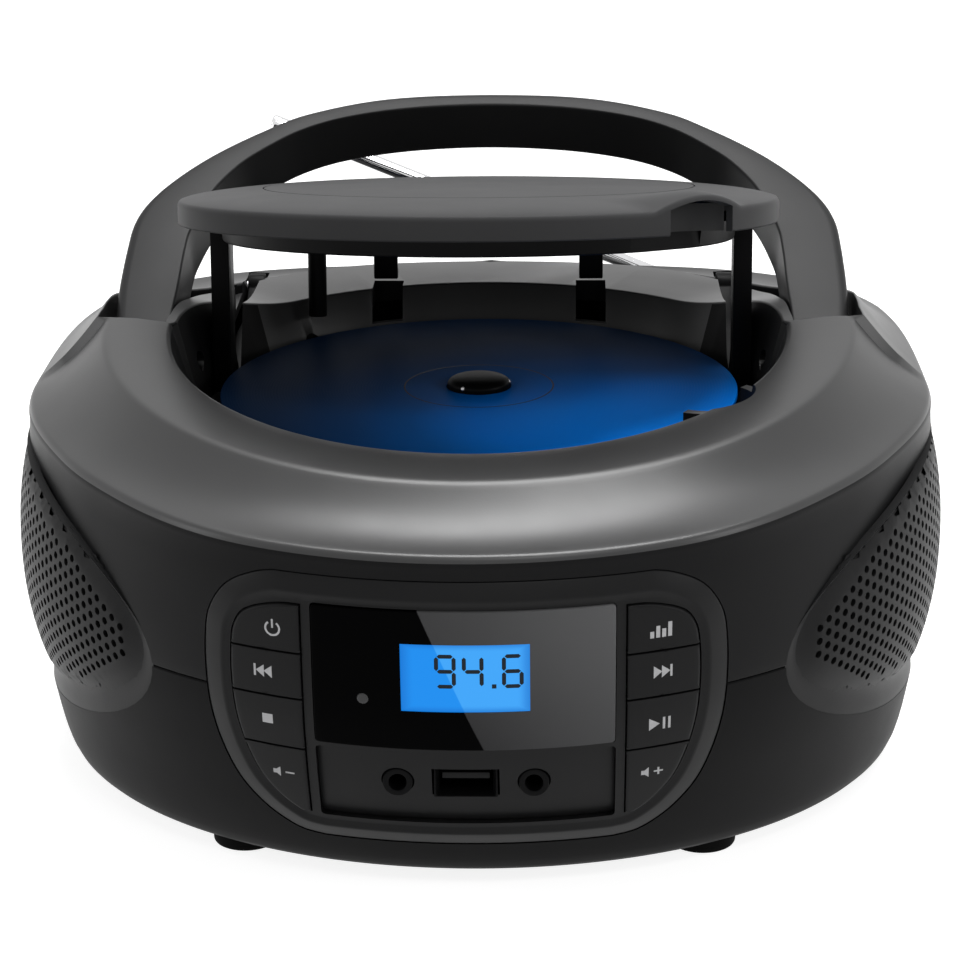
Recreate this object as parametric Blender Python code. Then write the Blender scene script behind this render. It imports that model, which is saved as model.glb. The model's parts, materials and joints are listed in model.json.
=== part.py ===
"""Portable round disc player with a raised handle and an open lid, as separate pieces.

Lengths are millimetres in the player's own frame, whose origin is the disc's centre: place()
turns them into metres above the ground. The front is -Y, up is +Z, and a turn is an angle
round the body from the front. Values that end in share or shares have no unit.
"""

import math

import bmesh
import bpy
from mathutils import Matrix, Vector

for old in list(bpy.data.objects):
    bpy.data.objects.remove(old, do_unlink=True)

# Everywhere
MM = 0.001
GAP = 0.3
WALL = 2.4
WELD = 0.001
OVERRUN = 12.0
TURN_STEPS = 48
WIDE_STEPS = 28
ROUND_STEPS = 20
SMALL_STEPS = 16
SMOOTH_ANGLE = math.radians(35.0)

# Body outline at its widest, and shares of these sizes by share of the way down to the base
BODY_HALF = 104.5
BODY_FRONT = 105.3
BODY_REAR = 103.0
BASE_Z = -82.0
SPLIT_Z = -36.5
BODY_SHARES = (
    (-0.1, 0.989, 0.980, 0.994),
    (0.05, 0.997, 0.991, 1.0),
    (0.146, 1.0, 0.999, 1.0),
    (0.293, 1.0, 1.0, 0.998),
    (0.445, 0.998, 0.995, 0.993),
    (0.549, 0.995, 0.98, 0.985),
    (0.671, 0.989, 0.948, 0.971),
    (0.805, 0.975, 0.9, 0.946),
    (0.915, 0.96, 0.853, 0.918),
    (0.976, 0.944, 0.822, 0.895),
    (1.0, 0.919, 0.798, 0.87),
)
FRONT_POWER = 2.0
REAR_POWER = 3.4
SEAM_BEVEL = 0.5
FLOOR_INSET = 8.4
INSIDE_SHARES = (0.915, 0.671)

# Top ring: opening, crease and shoulder, each with its height at the front and its climb to the rear
OPENING_R = 71.2
OPENING_Y = 2.0
OPENING_Z = 6.0
OPENING_CLIMB_SHARE = 0.127
CREASE_R = 86.0
CREASE_Y = 1.0
CREASE_Z = 5.0
CREASE_CLIMB_SHARE = 0.135
SHOULDER_R = 104.0
SHOULDER_Z = -4.0
SHOULDER_CLIMB_SHARE = 0.05
SHOULDER_BEAD = 0.4
SHOULDER_ROUND = 1.8
BAND_SAG = 1.9
BAND_SHARES = (0.28, 0.55, 0.8)
WALL_SHARES = (0.0, 0.38, 0.75)
RING_SHARES = (0.0, 0.04, 0.4, 0.75, 1.0)
RING_CROWN = 0.5
RING_END = math.radians(90.4)
RING_END_STEP = math.radians(0.6)
HUMP_END = math.radians(138.0)
HUMP_RISE = 1.0
REAR_EDGE_R = 70.2
REAR_EDGE_Z = 7.0
REAR_RIM = 1.4
CHANNEL_Z = -5.8
CHANNEL_CLIMB_SHARE = 0.1405
CHANNEL_OUTER_ROOM = 1.9
CHANNEL_INNER_ROOM = 0.7
CHANNEL_DRAFT = 0.6
WELL_R = 64.5
WELL_Z = -9.0
NOTCH_X = 51.0
NOTCH_Y = -37.5
NOTCH_R = 10.5
NOTCH_DEEP = 3.0

# Disc and its drive
DISC_R = 60.0
DISC_HOLE_R = 7.5
DISC_THICK = 1.2
HUB_R = 7.2
HUB_RISE = 2.5
HUB_BEVEL = 1.0
TABLE_R = 13.0
TABLE_THICK = 2.0
SHAFT_R = 4.0
SHAFT_ROOM = 1.0
MOTOR_R = 12.0
MOTOR_HIGH = 12.0
FLOOR_THICK = 2.0
WELL_LIP = 4.0
WELL_FILLET = 2.5
RAIL_R = 1.5
RAIL_X = 11.0
RAIL_DROP = 4.0
RAIL_FRONT = -62.0
RAIL_REAR = -14.0
RAIL_BLOCK_WIDE = 5.4
RAIL_BLOCK_LONG = 3.0
RAIL_BLOCK_HIGH = 6.6
SLED_WIDE = 30.0
SLED_LONG = 16.0
SLED_HIGH = 6.5
SLED_CORNER = 2.0
PICKUP_Y = -32.0
PICKUP_FRONT = -54.0
PICKUP_REAR = -4.0
LENS_R = 3.0
LENS_ROOM = 2.0
LENS_TOP = -4.5

# Handle: half width and reach from its pivot, and shares of them along its inner and outer edges
HANDLE_Y = 11.0
HANDLE_Z = 3.0
HANDLE_TILT = math.radians(31.0)
HANDLE_THICK = 15.0
HANDLE_EDGE = 1.4
HANDLE_INNER_HALF = 73.4
HANDLE_INNER_REACH = 82.0
HANDLE_INNER_SHARES = (
    (1.0, -0.044), (0.997, 0.098), (0.989, 0.22), (0.984, 0.366), (0.971, 0.463), (0.92, 0.61),
    (0.842, 0.727), (0.755, 0.807), (0.636, 0.888), (0.486, 0.946), (0.272, 0.985), (0.0, 1.0),
)
HANDLE_OUTER_HALF = 87.2
HANDLE_OUTER_REACH = 87.2
HANDLE_OUTER_SHARES = (
    (0.989, -0.041), (0.995, 0.092), (1.0, 0.206), (0.995, 0.367), (0.984, 0.47), (0.947, 0.557),
    (0.876, 0.649), (0.78, 0.743), (0.654, 0.837), (0.528, 0.911), (0.298, 0.979), (0.0, 1.0),
)
PIVOT_PIN_R = 2.3
PIVOT_PIN_INNER = 68.6
PIVOT_PIN_OUTER = 80.0

# Lid: pivot, how far it stands open, and its disc in its own plane
LID_Y = 90.0
LID_Z = 1.0
LID_OPEN = math.radians(18.2)
LID_SHUT_TILT = math.radians(9.2)
LID_R = 69.2
LID_SHUT_Y = 1.4
LID_SHUT_Z = 15.0
LID_SKIRT = 4.8
LID_DOME = 4.0
LID_WALL = 1.8
LID_ROUND = 0.8
LID_CROWN_WALL = 3.2
LID_SHARES = (0.25, 0.5, 0.7, 0.85, 0.94)
ARCH_R = 9.0
ARCH_X = 47.0
ARCH_Y = 46.0
ARCH_REACH = 27.0
ARCH_DROP = 5.4
LINER_SEAT = 0.8
LINER_FLANGE_INSET = 2.8
LINER_FLANGE = 2.0
LINER_INSET = 9.2
LINER_RIM = 5.0
LINER_DROP = 6.0
ARM_X = 62.0
ARM_WIDE = 4.4
ARM_SIDE_ROOM = 0.5
ARM_DIP = 25.0
ARM_ROOT = 11.0
ARM_ROOT_LONG = 9.0
ARM_LOWER_SHARES = ((0.013, 0.48), (0.081, 0.16), (0.189, 0.0), (0.65, 0.32), (0.892, 0.52))
ARM_UPPER_SHARES = ((0.838, 0.72), (0.623, 0.64), (0.229, 0.36), (0.135, 0.64))
ARM_SLOT_FRONT = 12.0
ARM_SLOT_ROOM = 5.0
HOOK_LEFT = -25.5
HOOK_RIGHT = 26.5
HOOK_INSET = 7.8
HOOK_WIDE = 6.0
HOOK_THICK = 2.4
HOOK_LONG = 20.5
HOOK_BARB = 1.9
HOOK_ROOM = 0.8
HOOK_NOTCH_FRONT = 58.0
HOOK_NOTCH_REAR = 72.0
HOOK_NOTCH_Z = -1.5
LOCK_X = -42.0
LOCK_Y = 44.5
LOCK_R = 2.3
LOCK_LONG = 29.0
LOCK_WELL_R = 3.4
LOCK_WELL_Y = 45.6
LOCK_WELL_LEAN = 5.4
LOCK_WELL_TOP = 10.0
LOCK_WELL_FOOT = -15.0
CLAMP_R = 15.7
CLAMP_ROOM = 0.3
CLAMP_DROP = 3.0
CLAMP_NOSE = 2.0
CLAMP_BEVEL = 3.7
CLAMP_BORE_ROOM = 1.0
CLAMP_BORE_DEEP = 3.5
HINGE_PIN_R = 1.5
HINGE_PIN_HALF = 6.0
HINGE_BOSS_R = 3.4
HINGE_CHEEK = 4.2
HINGE_CHEEK_ROOM = 1.0
HINGE_CHEEK_FRONT = 4.4
HINGE_CHEEK_REAR = 4.6
HINGE_CHEEK_LOW = 5.4
HINGE_CHEEK_HIGH = 2.1

# Front panel: its top, height and half width, and shares of the last two down its edge
PANEL_TOP = -9.0
PANEL_HIGH = 63.4
PANEL_HALF = 53.2
PANEL_SHARES = (
    (0.0, 0.714), (0.0142, 0.782), (0.049, 0.868), (0.098, 0.93), (0.177, 0.979), (0.268, 0.996), (0.386, 1.0),
    (0.52, 0.989), (0.653, 0.955), (0.79, 0.893), (0.891, 0.806), (0.954, 0.72), (0.987, 0.649), (1.0, 0.564),
)
PANEL_PROUD = 1.1
PANEL_DEEP = 2.6
PANEL_CUT = 45.0
PANEL_COLUMNS = 19
FIELD_COLUMNS = 13
FIELD_TOP = -14.8
FIELD_HALF = 30.3
DISPLAY_HIGH = 30.7
DISPLAY_SINK = 0.2
DISPLAY_DEEP = 1.0
DISPLAY_ROWS = 6
LCD_WIDE = 31.6
LCD_HIGH = 18.6
LCD_SHIFT = 0.45
LCD_DROP = 14.3
LCD_BACK = 3.2
LCD_THICK = 4.0
JACK_FIELD_STEP = 1.3
JACK_FIELD_HIGH = 18.8
JACK_FIELD_ROWS = 5
JACK_SINK = 1.2
JACK_PANEL_DEEP = 2.0
JACK_X = 13.9
JACK_Z = -54.9
JACK_R = 3.1
JACK_HOLE_R = 1.8
JACK_PROUD = 1.0
JACK_LONG = 14.0
JACK_BASE = 1.5
USB_WIDE = 13.0
USB_HIGH = 6.6
USB_LONG = 13.0
USB_PROUD = 0.8
USB_SHELL = 0.5
USB_TONGUE_ROOM = 1.2
USB_TONGUE_START = 1.0
USB_TONGUE_LOW = 0.2
USB_TONGUE_HIGH = 1.8
BUTTON_COLUMN_HIGH = 50.5
BUTTON_EDGE_SHARES = (0.01, 0.218, 0.418, 0.655, 1.0)
BUTTON_SLIT = 0.2
BUTTON_AISLE = 2.3
BUTTON_MARGIN = 5.8
BUTTON_PROUD = 2.3
BUTTON_BEVEL = 0.6
BUTTON_FACE_SHARE = 0.93
BUTTON_STEM = 4.6
LEFT_BUTTONS = ("power_button", "previous_button", "stop_button", "volume_down_button")
RIGHT_BUTTONS = ("mode_button", "next_button", "play_button", "volume_up_button")

# Speakers and their grilles: a domed oval on the body's side
GRILLE_TURN = math.radians(89.0)
GRILLE_TURN_HALF = math.radians(50.0)
GRILLE_Z = -36.0
GRILLE_HALF_HIGH = 29.0
GRILLE_BULGE = 4.6
GRILLE_POWER = 2.2
GRILLE_THICK = 1.4
GRILLE_SINK = 1.2
GRILLE_SHARES = (0.25, 0.5, 0.74, 0.91, 1.0)
GRILLE_BED_SHARE = 1.02
GRILLE_STEPS = 36
SPEAKER_R = 28.5
SPEAKER_HOLE_R = 27.0
SPEAKER_RIM = 3.4
SPEAKER_FLANGE = 2.0
SPEAKER_INSET = 7.3
SPEAKER_DEEP = 22.0
BASKET_DEEP = 12.0
BASKET_SHEET = 0.6
MAGNET_R = 15.0
MAGNET_BORE_R = 8.0
MAGNET_BORE_DEEP = 13.0
MAGNET_CORE_DEEP = 15.0
CONE_DUST_R = 6.0
CONE_DUST_DEEP = 6.4
CONE_DEEP = 7.6
CONE_BACK = 10.0
CONE_SINK = 0.9
CONE_EDGE = 0.6

# Antenna
ANTENNA_INSET = 36.5
ANTENNA_PROUD = 2.8
ANTENNA_Z = -9.7
ANTENNA_TILT = math.radians(22.3)
ANTENNA_RS = (2.15, 1.7, 1.25, 0.85)
ANTENNA_LONG = 118.0
ANTENNA_STEP = 4.0
ANTENNA_FIT = 0.12
ANTENNA_FLOOR = 1.2
TIP_R = 2.3
TIP_NECK = 1.0
TIP_SLOPE = 0.5
TIP_LONG = 4.5
TIP_ROUND = 0.8
TURRET_R = 5.2
TURRET_LONG = 12.0
TURRET_BORE_FRONT = 18.0
TURRET_BORE_REAR = 6.0

# Underside, rear and inside
FOOT_X_FRONT = 50.0
FOOT_Y_FRONT = -62.0
FOOT_X_REAR = 62.0
FOOT_Y_REAR = 66.0
FOOT_R = 7.5
FOOT_HIGH = 3.6
FOOT_BEVEL = 0.8
DOOR_HALF = 46.0
DOOR_FRONT = 12.0
DOOR_REAR = 62.0
DOOR_THICK = 2.2
DOOR_CORNER = 2.7
BAY_INSET = 3.0
BAY_WALL = 2.0
BAY_HIGH = 30.0
CONTACT_THICK = 0.8
CONTACT_HALF = 18.0
CONTACT_LOW = 6.0
CONTACT_HIGH = 22.0
INLET_X = -40.0
INLET_INSET = 6.0
INLET_Z = -56.0
INLET_WIDE = 20.0
INLET_HIGH = 13.0
INLET_DEEP = 16.0
INLET_WALL = 2.0
INLET_BACK = 3.0
INLET_CUT = 24.0
PRONG_R = 1.0
PRONG_X = 4.0
PRONG_ROOM = 3.0
BOARD_HALF = 40.0
BOARD_FRONT = -80.0
BOARD_REAR = -20.0
BOARD_LIFT = 14.0
BOARD_THICK = 1.6
POST_R = 2.6
KEY_BOARD_HALF = 29.0
KEY_BOARD_INSET = 2.0
TRANSFORMER_X = -64.0
TRANSFORMER_Y = 44.0
TRANSFORMER_WIDE = 30.0
TRANSFORMER_LONG = 24.0
TRANSFORMER_HIGH = 26.0

# Plastics and metals: colour, roughness and metallic value
CHARCOAL = ((0.045, 0.045, 0.047), 0.42, 0.0)
BLACK = ((0.012, 0.012, 0.013), 0.38, 0.0)
PANEL_BLACK = ((0.02, 0.02, 0.021), 0.33, 0.0)
GLOSS = ((0.008, 0.008, 0.009), 0.06, 0.0)
CHROME = ((0.75, 0.75, 0.76), 0.12, 1.0)
STEEL = ((0.5, 0.5, 0.5), 0.35, 1.0)
RUBBER = ((0.02, 0.02, 0.02), 0.8, 0.0)
BLUE = ((0.01, 0.12, 0.42), 0.15, 0.0)
LCD_BLUE = ((0.01, 0.29, 0.87), 0.3, 0.0)
GREEN = ((0.01, 0.12, 0.05), 0.5, 0.0)

# Places that follow from the sizes above
LINER_FLANGE_R = LID_R - LINER_FLANGE_INSET
LINER_R = LID_R - LINER_INSET
HOOK_REACH = LID_R - HOOK_INSET
SPEAKER_FACE_X = BODY_HALF - SPEAKER_INSET
ANTENNA_X = BODY_HALF - ANTENNA_INSET
ANTENNA_Y = BODY_REAR + ANTENNA_PROUD
INLET_Y = BODY_REAR - INLET_INSET
GROUND_Z = BASE_Z - FOOT_HIGH
DISPLAY_LOW = FIELD_TOP - DISPLAY_HIGH
JACK_FIELD_TOP = DISPLAY_LOW - JACK_FIELD_STEP
JACK_FIELD_LOW = JACK_FIELD_TOP - JACK_FIELD_HIGH
BUTTON_IN = FIELD_HALF + BUTTON_AISLE
FLOOR_LOW = WELL_Z - FLOOR_THICK
RAIL_Z = FLOOR_LOW - RAIL_DROP
BOARD_Z = BASE_Z + BOARD_LIFT
LCD_Z = FIELD_TOP - LCD_DROP
LID_PIVOT = (0.0, LID_Y, LID_Z)
ORIGIN = (0.0, 0.0, 0.0)
BUTTONS = [(name, row, -1) for row, name in enumerate(LEFT_BUTTONS)]
BUTTONS += [(name, row, 1) for row, name in enumerate(RIGHT_BUTTONS)]


def blend(value, low, high):
    """Smooth step from 0 at low to 1 at high."""
    share = min(max((value - low) / (high - low), 0.0), 1.0)
    return share * share * (3.0 - 2.0 * share)


def slope(front_z, front_y, climb_share, y):
    """Height at a depth on a slope that climbs to the rear."""
    return front_z + (y - front_y) * climb_share


def between(table, key):
    """Row of a table at a key, its first column, by straight lines."""
    if key <= table[0][0]:
        return table[0]
    for low, high in zip(table, table[1:]):
        if key <= high[0]:
            share = (key - low[0]) / (high[0] - low[0])
            return tuple(a + (b - a) * share for a, b in zip(low, high))
    return table[-1]


def body_row(z):
    """The body's half width, front depth and rear depth at a height."""
    _, half, front, rear = between(BODY_SHARES, z / BASE_Z)
    return BODY_HALF * half, BODY_FRONT * front, BODY_REAR * rear


def body_radius(turn, z):
    """Radius of the body's outline at a turn from the front, at a height."""
    half, front, rear = body_row(z)
    side, ahead = abs(math.sin(turn)), math.cos(turn)
    depth, power = (front, FRONT_POWER) if ahead > 0 else (rear, REAR_POWER)
    return ((side / half) ** power + (abs(ahead) / depth) ** power) ** (-1 / power)


def body_point(turn, z, out=0.0):
    radius = body_radius(turn, z) + out
    return (radius * math.sin(turn), -radius * math.cos(turn), z)


def front_y(x, z):
    """Depth of the body's front face at a place seen from the front."""
    half, front, _ = body_row(z)
    return -front * math.sqrt(1.0 - (x / half) ** 2)


# The middle between the antenna at the rear and the top of the front panel
MIDDLE_Y = (ANTENNA_Y + TIP_R + front_y(0.0, FIELD_TOP + GAP) - PANEL_PROUD) / 2.0


def place(point):
    """Millimetres in the player's frame to metres in the world."""
    x, y, z = point
    return Vector((x, y - MIDDLE_Y, z - GROUND_Z)) * MM


def material(name, colour, roughness, metallic):
    made = bpy.data.materials.new(name)
    made.use_nodes = True
    shader = made.node_tree.nodes["Principled BSDF"]
    shader.inputs["Base Color"].default_value = (*colour, 1.0)
    shader.inputs["Roughness"].default_value = roughness
    shader.inputs["Metallic"].default_value = metallic
    made.diffuse_color = (*colour, 1.0)
    return made


def piece(name, shape, look=None, pivot=ORIGIN, turn=None, smooth=True):
    """A closed mesh object with its origin at a pivot, turned about it by a rotation matrix."""
    points, faces = shape
    mesh = bpy.data.meshes.new(name)
    mesh.from_pydata([(Vector(p) - Vector(pivot)) * MM for p in points], [], faces)
    bm = bmesh.new()
    bm.from_mesh(mesh)
    bmesh.ops.remove_doubles(bm, verts=bm.verts, dist=WELD * MM)
    bmesh.ops.recalc_face_normals(bm, faces=bm.faces)
    bmesh.ops.triangulate(bm, faces=bm.faces)
    bm.to_mesh(mesh)
    bm.free()
    if smooth:
        mesh.shade_smooth()
        mesh.set_sharp_from_angle(angle=SMOOTH_ANGLE)
    made = bpy.data.objects.new(name, mesh)
    made.matrix_world = Matrix.Translation(place(pivot)) @ (turn or Matrix.Identity(4))
    bpy.context.scene.collection.objects.link(made)
    if look:
        mesh.materials.append(material(f"{name}_look", *look))
    return made


def combine(target, shapes, operation):
    """Boolean of hidden helper meshes with a piece."""
    for number, shape in enumerate(shapes):
        helper = piece(f"{target.name}_{operation.lower()}_{number}", shape)
        helper.hide_render = True
        helper.display_type = "WIRE"
        change = target.modifiers.new(f"{operation.lower()}_{number}", "BOOLEAN")
        change.operation = operation
        change.solver = "EXACT"
        change.object = helper


def cut(target, shapes):
    combine(target, shapes, "DIFFERENCE")


def add(target, shapes):
    combine(target, shapes, "UNION")


def loft(rings, closed=False):
    """Points and faces of a skin over equal rings, capped, or joined end to end."""
    count = len(rings[0])
    points = [p for ring in rings for p in ring]
    faces = []
    for i in range(len(rings) if closed else len(rings) - 1):
        low, high = i * count, (i + 1) % len(rings) * count
        for j in range(count):
            k = (j + 1) % count
            faces.append((low + j, low + k, high + k, high + j))
    if not closed:
        faces.append(tuple(reversed(range(count))))
        faces.append(tuple(range((len(rings) - 1) * count, len(rings) * count)))
    return points, faces


def circle(radius, steps):
    turns = (2.0 * math.pi * i / steps for i in range(steps))
    return [(radius * math.cos(a), radius * math.sin(a)) for a in turns]


def turned(profile, steps=ROUND_STEPS, centre=ORIGIN, axis="Z"):
    """Points and faces of a closed (radius, place along) profile turned about an axis."""
    rings = []
    for across, up in circle(1.0, steps):
        ring = []
        for radius, along in profile:
            a, b = radius * across, radius * up
            spot = {"Z": (a, b, along), "X": (along, a, b), "Y": (a, along, b)}[axis]
            ring.append(tuple(c + s for c, s in zip(centre, spot)))
        rings.append(ring)
    return loft(rings, closed=True)


def rod(radius, start, end, steps=ROUND_STEPS):
    """Points and faces of a round rod between two places."""
    start, end = Vector(start), Vector(end)
    turn = (end - start).to_track_quat("Z", "Y").to_matrix()
    ring = [turn @ Vector((a, b, 0.0)) for a, b in circle(radius, steps)]
    return loft([[tuple(spot + p) for p in ring] for spot in (start, end)])


def slab(outline, low, high, axis="Z"):
    """Points and faces of a flat outline pushed along an axis."""
    rings = []
    for w in (low, high):
        spots = {
            "X": [(w, u, v) for u, v in outline],
            "Y": [(u, w, v) for u, v in outline],
            "Z": [(u, v, w) for u, v in outline],
        }
        rings.append(spots[axis])
    return loft(rings)


def box(x0, x1, y0, y1, z0, z1):
    return slab(((x0, y0), (x1, y0), (x1, y1), (x0, y1)), z0, z1)


def block(centre, wide, long, high):
    """A box about a middle."""
    x, y, z = centre
    return box(x - wide / 2.0, x + wide / 2.0, y - long / 2.0, y + long / 2.0, z - high / 2.0, z + high / 2.0)


def rounded(x0, x1, y0, y1, corner, steps=4):
    """Outline of a rectangle with round corners."""
    left, right, low, high = x0 + corner, x1 - corner, y0 + corner, y1 - corner
    centres = ((right, high), (left, high), (left, low), (right, low))
    outline = []
    for quarter, (cx, cy) in enumerate(centres):
        for i in range(steps + 1):
            a = math.pi / 2.0 * (quarter + i / steps)
            outline.append((cx + corner * math.cos(a), cy + corner * math.sin(a)))
    return outline


def swelled(outline, by):
    """The outline moved outwards by a distance, for a clear slot around a piece."""
    area = sum(a[0] * b[1] - b[0] * a[1] for a, b in zip(outline, outline[1:] + outline[:1]))
    sign = 1.0 if area > 0 else -1.0
    moved = []
    for i, (u, v) in enumerate(outline):
        before, after = Vector(outline[i - 1]), Vector(outline[(i + 1) % len(outline)])
        along = (after - before).normalized()
        moved.append((u + sign * along.y * by, v - sign * along.x * by))
    return moved


def handle_edge(half, reach, shares):
    """One edge of the handle from its pivot to its middle, as (x, distance behind the pivot)."""
    return [(half * across, reach * back) for across, back in shares]


def handle_reach(turn, edge, swell):
    """Radius about the disc's centre of the folded handle's edge at a turn from the front."""
    side, back = math.sin(turn), -math.cos(turn)
    spots = [(x + swell, HANDLE_Y + r) for x, r in edge]
    spots[-1] = (0.0, spots[-1][1] + swell)
    for (x0, y0), (x1, y1) in zip(spots, spots[1:]):
        first, second = x0 * back - y0 * side, x1 * back - y1 * side
        if first >= 0.0 >= second:
            share = first / (first - second) if first != second else 0.0
            return math.hypot(x0 + (x1 - x0) * share, y0 + (y1 - y0) * share)
    return math.hypot(*spots[0])


def ring_circle(turn, radius, centre_y, front_z, climb_share):
    """Radius about the disc's centre, and height, of a sloping circle of the top ring."""
    y = centre_y - radius * math.cos(turn)
    z = slope(front_z, centre_y - radius, climb_share, y)
    return math.hypot(radius * math.sin(turn), y), z


def ring_top(away, opening, crease):
    """Front half of the ring: a low crown between the crease and the opening."""
    span = crease[0] - opening[0]
    drop = opening[1] - crease[1]
    top = []
    for share in RING_SHARES:
        crown = RING_CROWN * math.sin(math.pi * share)
        top.append((crease[0] - span * share, crease[1] + drop * share + crown))
    under = [(opening[0] + WALL, opening[1] - WALL), (crease[0] - HUMP_RISE, crease[1] - WALL - SHOULDER_ROUND)]
    return top, under


def channel_top(away, opening, crease, shoulder_z):
    """Rear half of the ring: the channel that the folded handle lies in."""
    inner = handle_edge(HANDLE_INNER_HALF, HANDLE_INNER_REACH, HANDLE_INNER_SHARES)
    outer = handle_edge(HANDLE_OUTER_HALF, HANDLE_OUTER_REACH, HANDLE_OUTER_SHARES)
    floor_z = slope(CHANNEL_Z, HANDLE_Y, CHANNEL_CLIMB_SHARE, -CREASE_R * math.cos(away))
    fall = blend(away, RING_END, HUMP_END)
    ridge_z = crease[1] + (max(floor_z, shoulder_z) + HUMP_RISE - crease[1]) * fall
    ridge_r = handle_reach(away, outer, CHANNEL_OUTER_ROOM)
    edge_z = opening[1] + (REAR_EDGE_Z - opening[1]) * fall
    cheek_r = max(handle_reach(away, inner, -CHANNEL_INNER_ROOM), REAR_EDGE_R + REAR_RIM)
    top = [
        (ridge_r, ridge_z),
        (ridge_r - CHANNEL_DRAFT, floor_z),
        (cheek_r + CHANNEL_DRAFT / 3.0, floor_z),
        (cheek_r, edge_z),
        (REAR_EDGE_R, edge_z),
    ]
    under = [
        (REAR_EDGE_R + CHANNEL_DRAFT / 3.0, min(floor_z, edge_z) - WALL),
        (ridge_r - CHANNEL_DRAFT, floor_z - WALL),
    ]
    return top, under


def top_profile(turn):
    """Closed loop of (radius, height) pairs round the top housing's wall at a turn from the front."""
    away = min(turn, 2.0 * math.pi - turn)
    rear = away > RING_END
    spot_y = min(-SHOULDER_R * math.cos(away), SHOULDER_R / 2.0)
    shoulder_z = slope(SHOULDER_Z, -SHOULDER_R, SHOULDER_CLIMB_SHARE, spot_y)
    shoulder_r = body_radius(away, shoulder_z)
    seam_z = SPLIT_Z + GAP
    heights = [seam_z + (shoulder_z - seam_z) * share for share in WALL_SHARES]
    outer = [(body_radius(away, z), z) for z in heights]
    outer.append((shoulder_r + SHOULDER_BEAD, shoulder_z - SHOULDER_ROUND))
    outer.append((shoulder_r - SHOULDER_BEAD, shoulder_z))
    opening = ring_circle(away, OPENING_R, OPENING_Y, OPENING_Z, OPENING_CLIMB_SHARE)
    crease = ring_circle(away, CREASE_R, CREASE_Y, CREASE_Z, CREASE_CLIMB_SHARE)
    if rear:
        top, under = channel_top(away, opening, crease, shoulder_z)
    else:
        top, under = ring_top(away, opening, crease)
    start, end = outer[-1], top[0]
    band = []
    for share in BAND_SHARES:
        sag = BAND_SAG * math.sin(math.pi * share) * (0.5 if rear else 1.0)
        band.append((start[0] + (end[0] - start[0]) * share, start[1] + (end[1] - start[1]) * share - sag))
    well = [(WELL_R, WELL_Z), (WELL_R + WALL, WELL_Z)]
    inside = [(shoulder_r - WALL - SHOULDER_BEAD, shoulder_z - 2.0 * WALL)]
    inside += [(body_radius(away, z) - WALL, z) for z in (heights[1], seam_z)]
    return outer + band + top + well + under + inside


def hinge_cheeks():
    """Blocks on both sides of each lid arm that hold its hinge pin."""
    near = ARM_WIDE / 2.0 + HINGE_CHEEK_ROOM
    far = near + HINGE_CHEEK
    blocks = []
    for side in (-1, 1):
        for reach in (-1, 1):
            ends = sorted(side * (ARM_X + reach * distance) for distance in (near, far))
            blocks.append(box(*ends, LID_Y - HINGE_CHEEK_FRONT, LID_Y + HINGE_CHEEK_REAR,
                              LID_Z - HINGE_CHEEK_LOW, LID_Z + HINGE_CHEEK_HIGH))
    return blocks


def arm_slot(side, z0, z1):
    """Cutter for the slot that a lid arm dips into."""
    half = ARM_WIDE / 2.0 + ARM_SIDE_ROOM
    return box(side * ARM_X - half, side * ARM_X + half, ARM_SLOT_FRONT, LID_Y + ARM_SLOT_ROOM, z0, z1)


def lock_well():
    """Cutter for the slanted hole that the lid's safety pin goes into."""
    top = (LOCK_X, LOCK_WELL_Y, LOCK_WELL_TOP)
    return rod(LOCK_WELL_R, top, (LOCK_X, LOCK_WELL_Y + LOCK_WELL_LEAN, LOCK_WELL_FOOT))


def pivot_bore(side, reach):
    """Cutter for a handle pin's hole, from inside the opening out to a reach."""
    start = (side * (WELL_R + HANDLE_EDGE), HANDLE_Y, HANDLE_Z)
    return rod(PIVOT_PIN_R + GAP, start, (side * reach, HANDLE_Y, HANDLE_Z))


def top_housing():
    turns = [2.0 * math.pi * i / TURN_STEPS for i in range(TURN_STEPS)]
    past_end = RING_END + RING_END_STEP
    turns = sorted(turns + [past_end, 2.0 * math.pi - past_end])
    rings = [[(r * math.sin(turn), -r * math.cos(turn), z) for r, z in top_profile(turn)] for turn in turns]
    made = piece("top_housing", loft(rings, closed=True), CHARCOAL)
    add(made, [slab(notch_outline(), WELL_Z + SEAM_BEVEL, OPENING_Z + HUB_RISE)] + hinge_cheeks())
    cutters = [slab(panel_outline(GAP), *panel_cut(), "Y")]
    for side in (-1, 1):
        cutters.append(arm_slot(side, SPLIT_Z - OVERRUN, 2.0 * OVERRUN))
        cutters.append(speaker_hole(side))
        cutters.append(grille_bed(side))
        cutters.append(pivot_bore(side, PIVOT_PIN_OUTER + WALL))
        ends = [(side * ARM_X + reach, LID_Y, LID_Z) for reach in (-HINGE_PIN_HALF - GAP, HINGE_PIN_HALF + GAP)]
        cutters.append(rod(HINGE_PIN_R + GAP, *ends))
    ends = [(NOTCH_X, NOTCH_Y, z) for z in (WELL_Z + NOTCH_DEEP, 2.0 * OVERRUN)]
    cutters.append(rod(NOTCH_R, *ends, WIDE_STEPS))
    half = HOOK_WIDE / 2.0 + HOOK_ROOM
    for x in (HOOK_LEFT, HOOK_RIGHT):
        cutters.append(box(x - half, x + half, HOOK_NOTCH_FRONT, HOOK_NOTCH_REAR, HOOK_NOTCH_Z, OVERRUN))
    cutters.append(lock_well())
    ends = [(ANTENNA_X, ANTENNA_Y + reach, ANTENNA_Z) for reach in (-TURRET_BORE_FRONT, TURRET_BORE_REAR)]
    cutters.append(rod(TURRET_R + GAP, *ends, WIDE_STEPS))
    cut(made, cutters)


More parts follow.
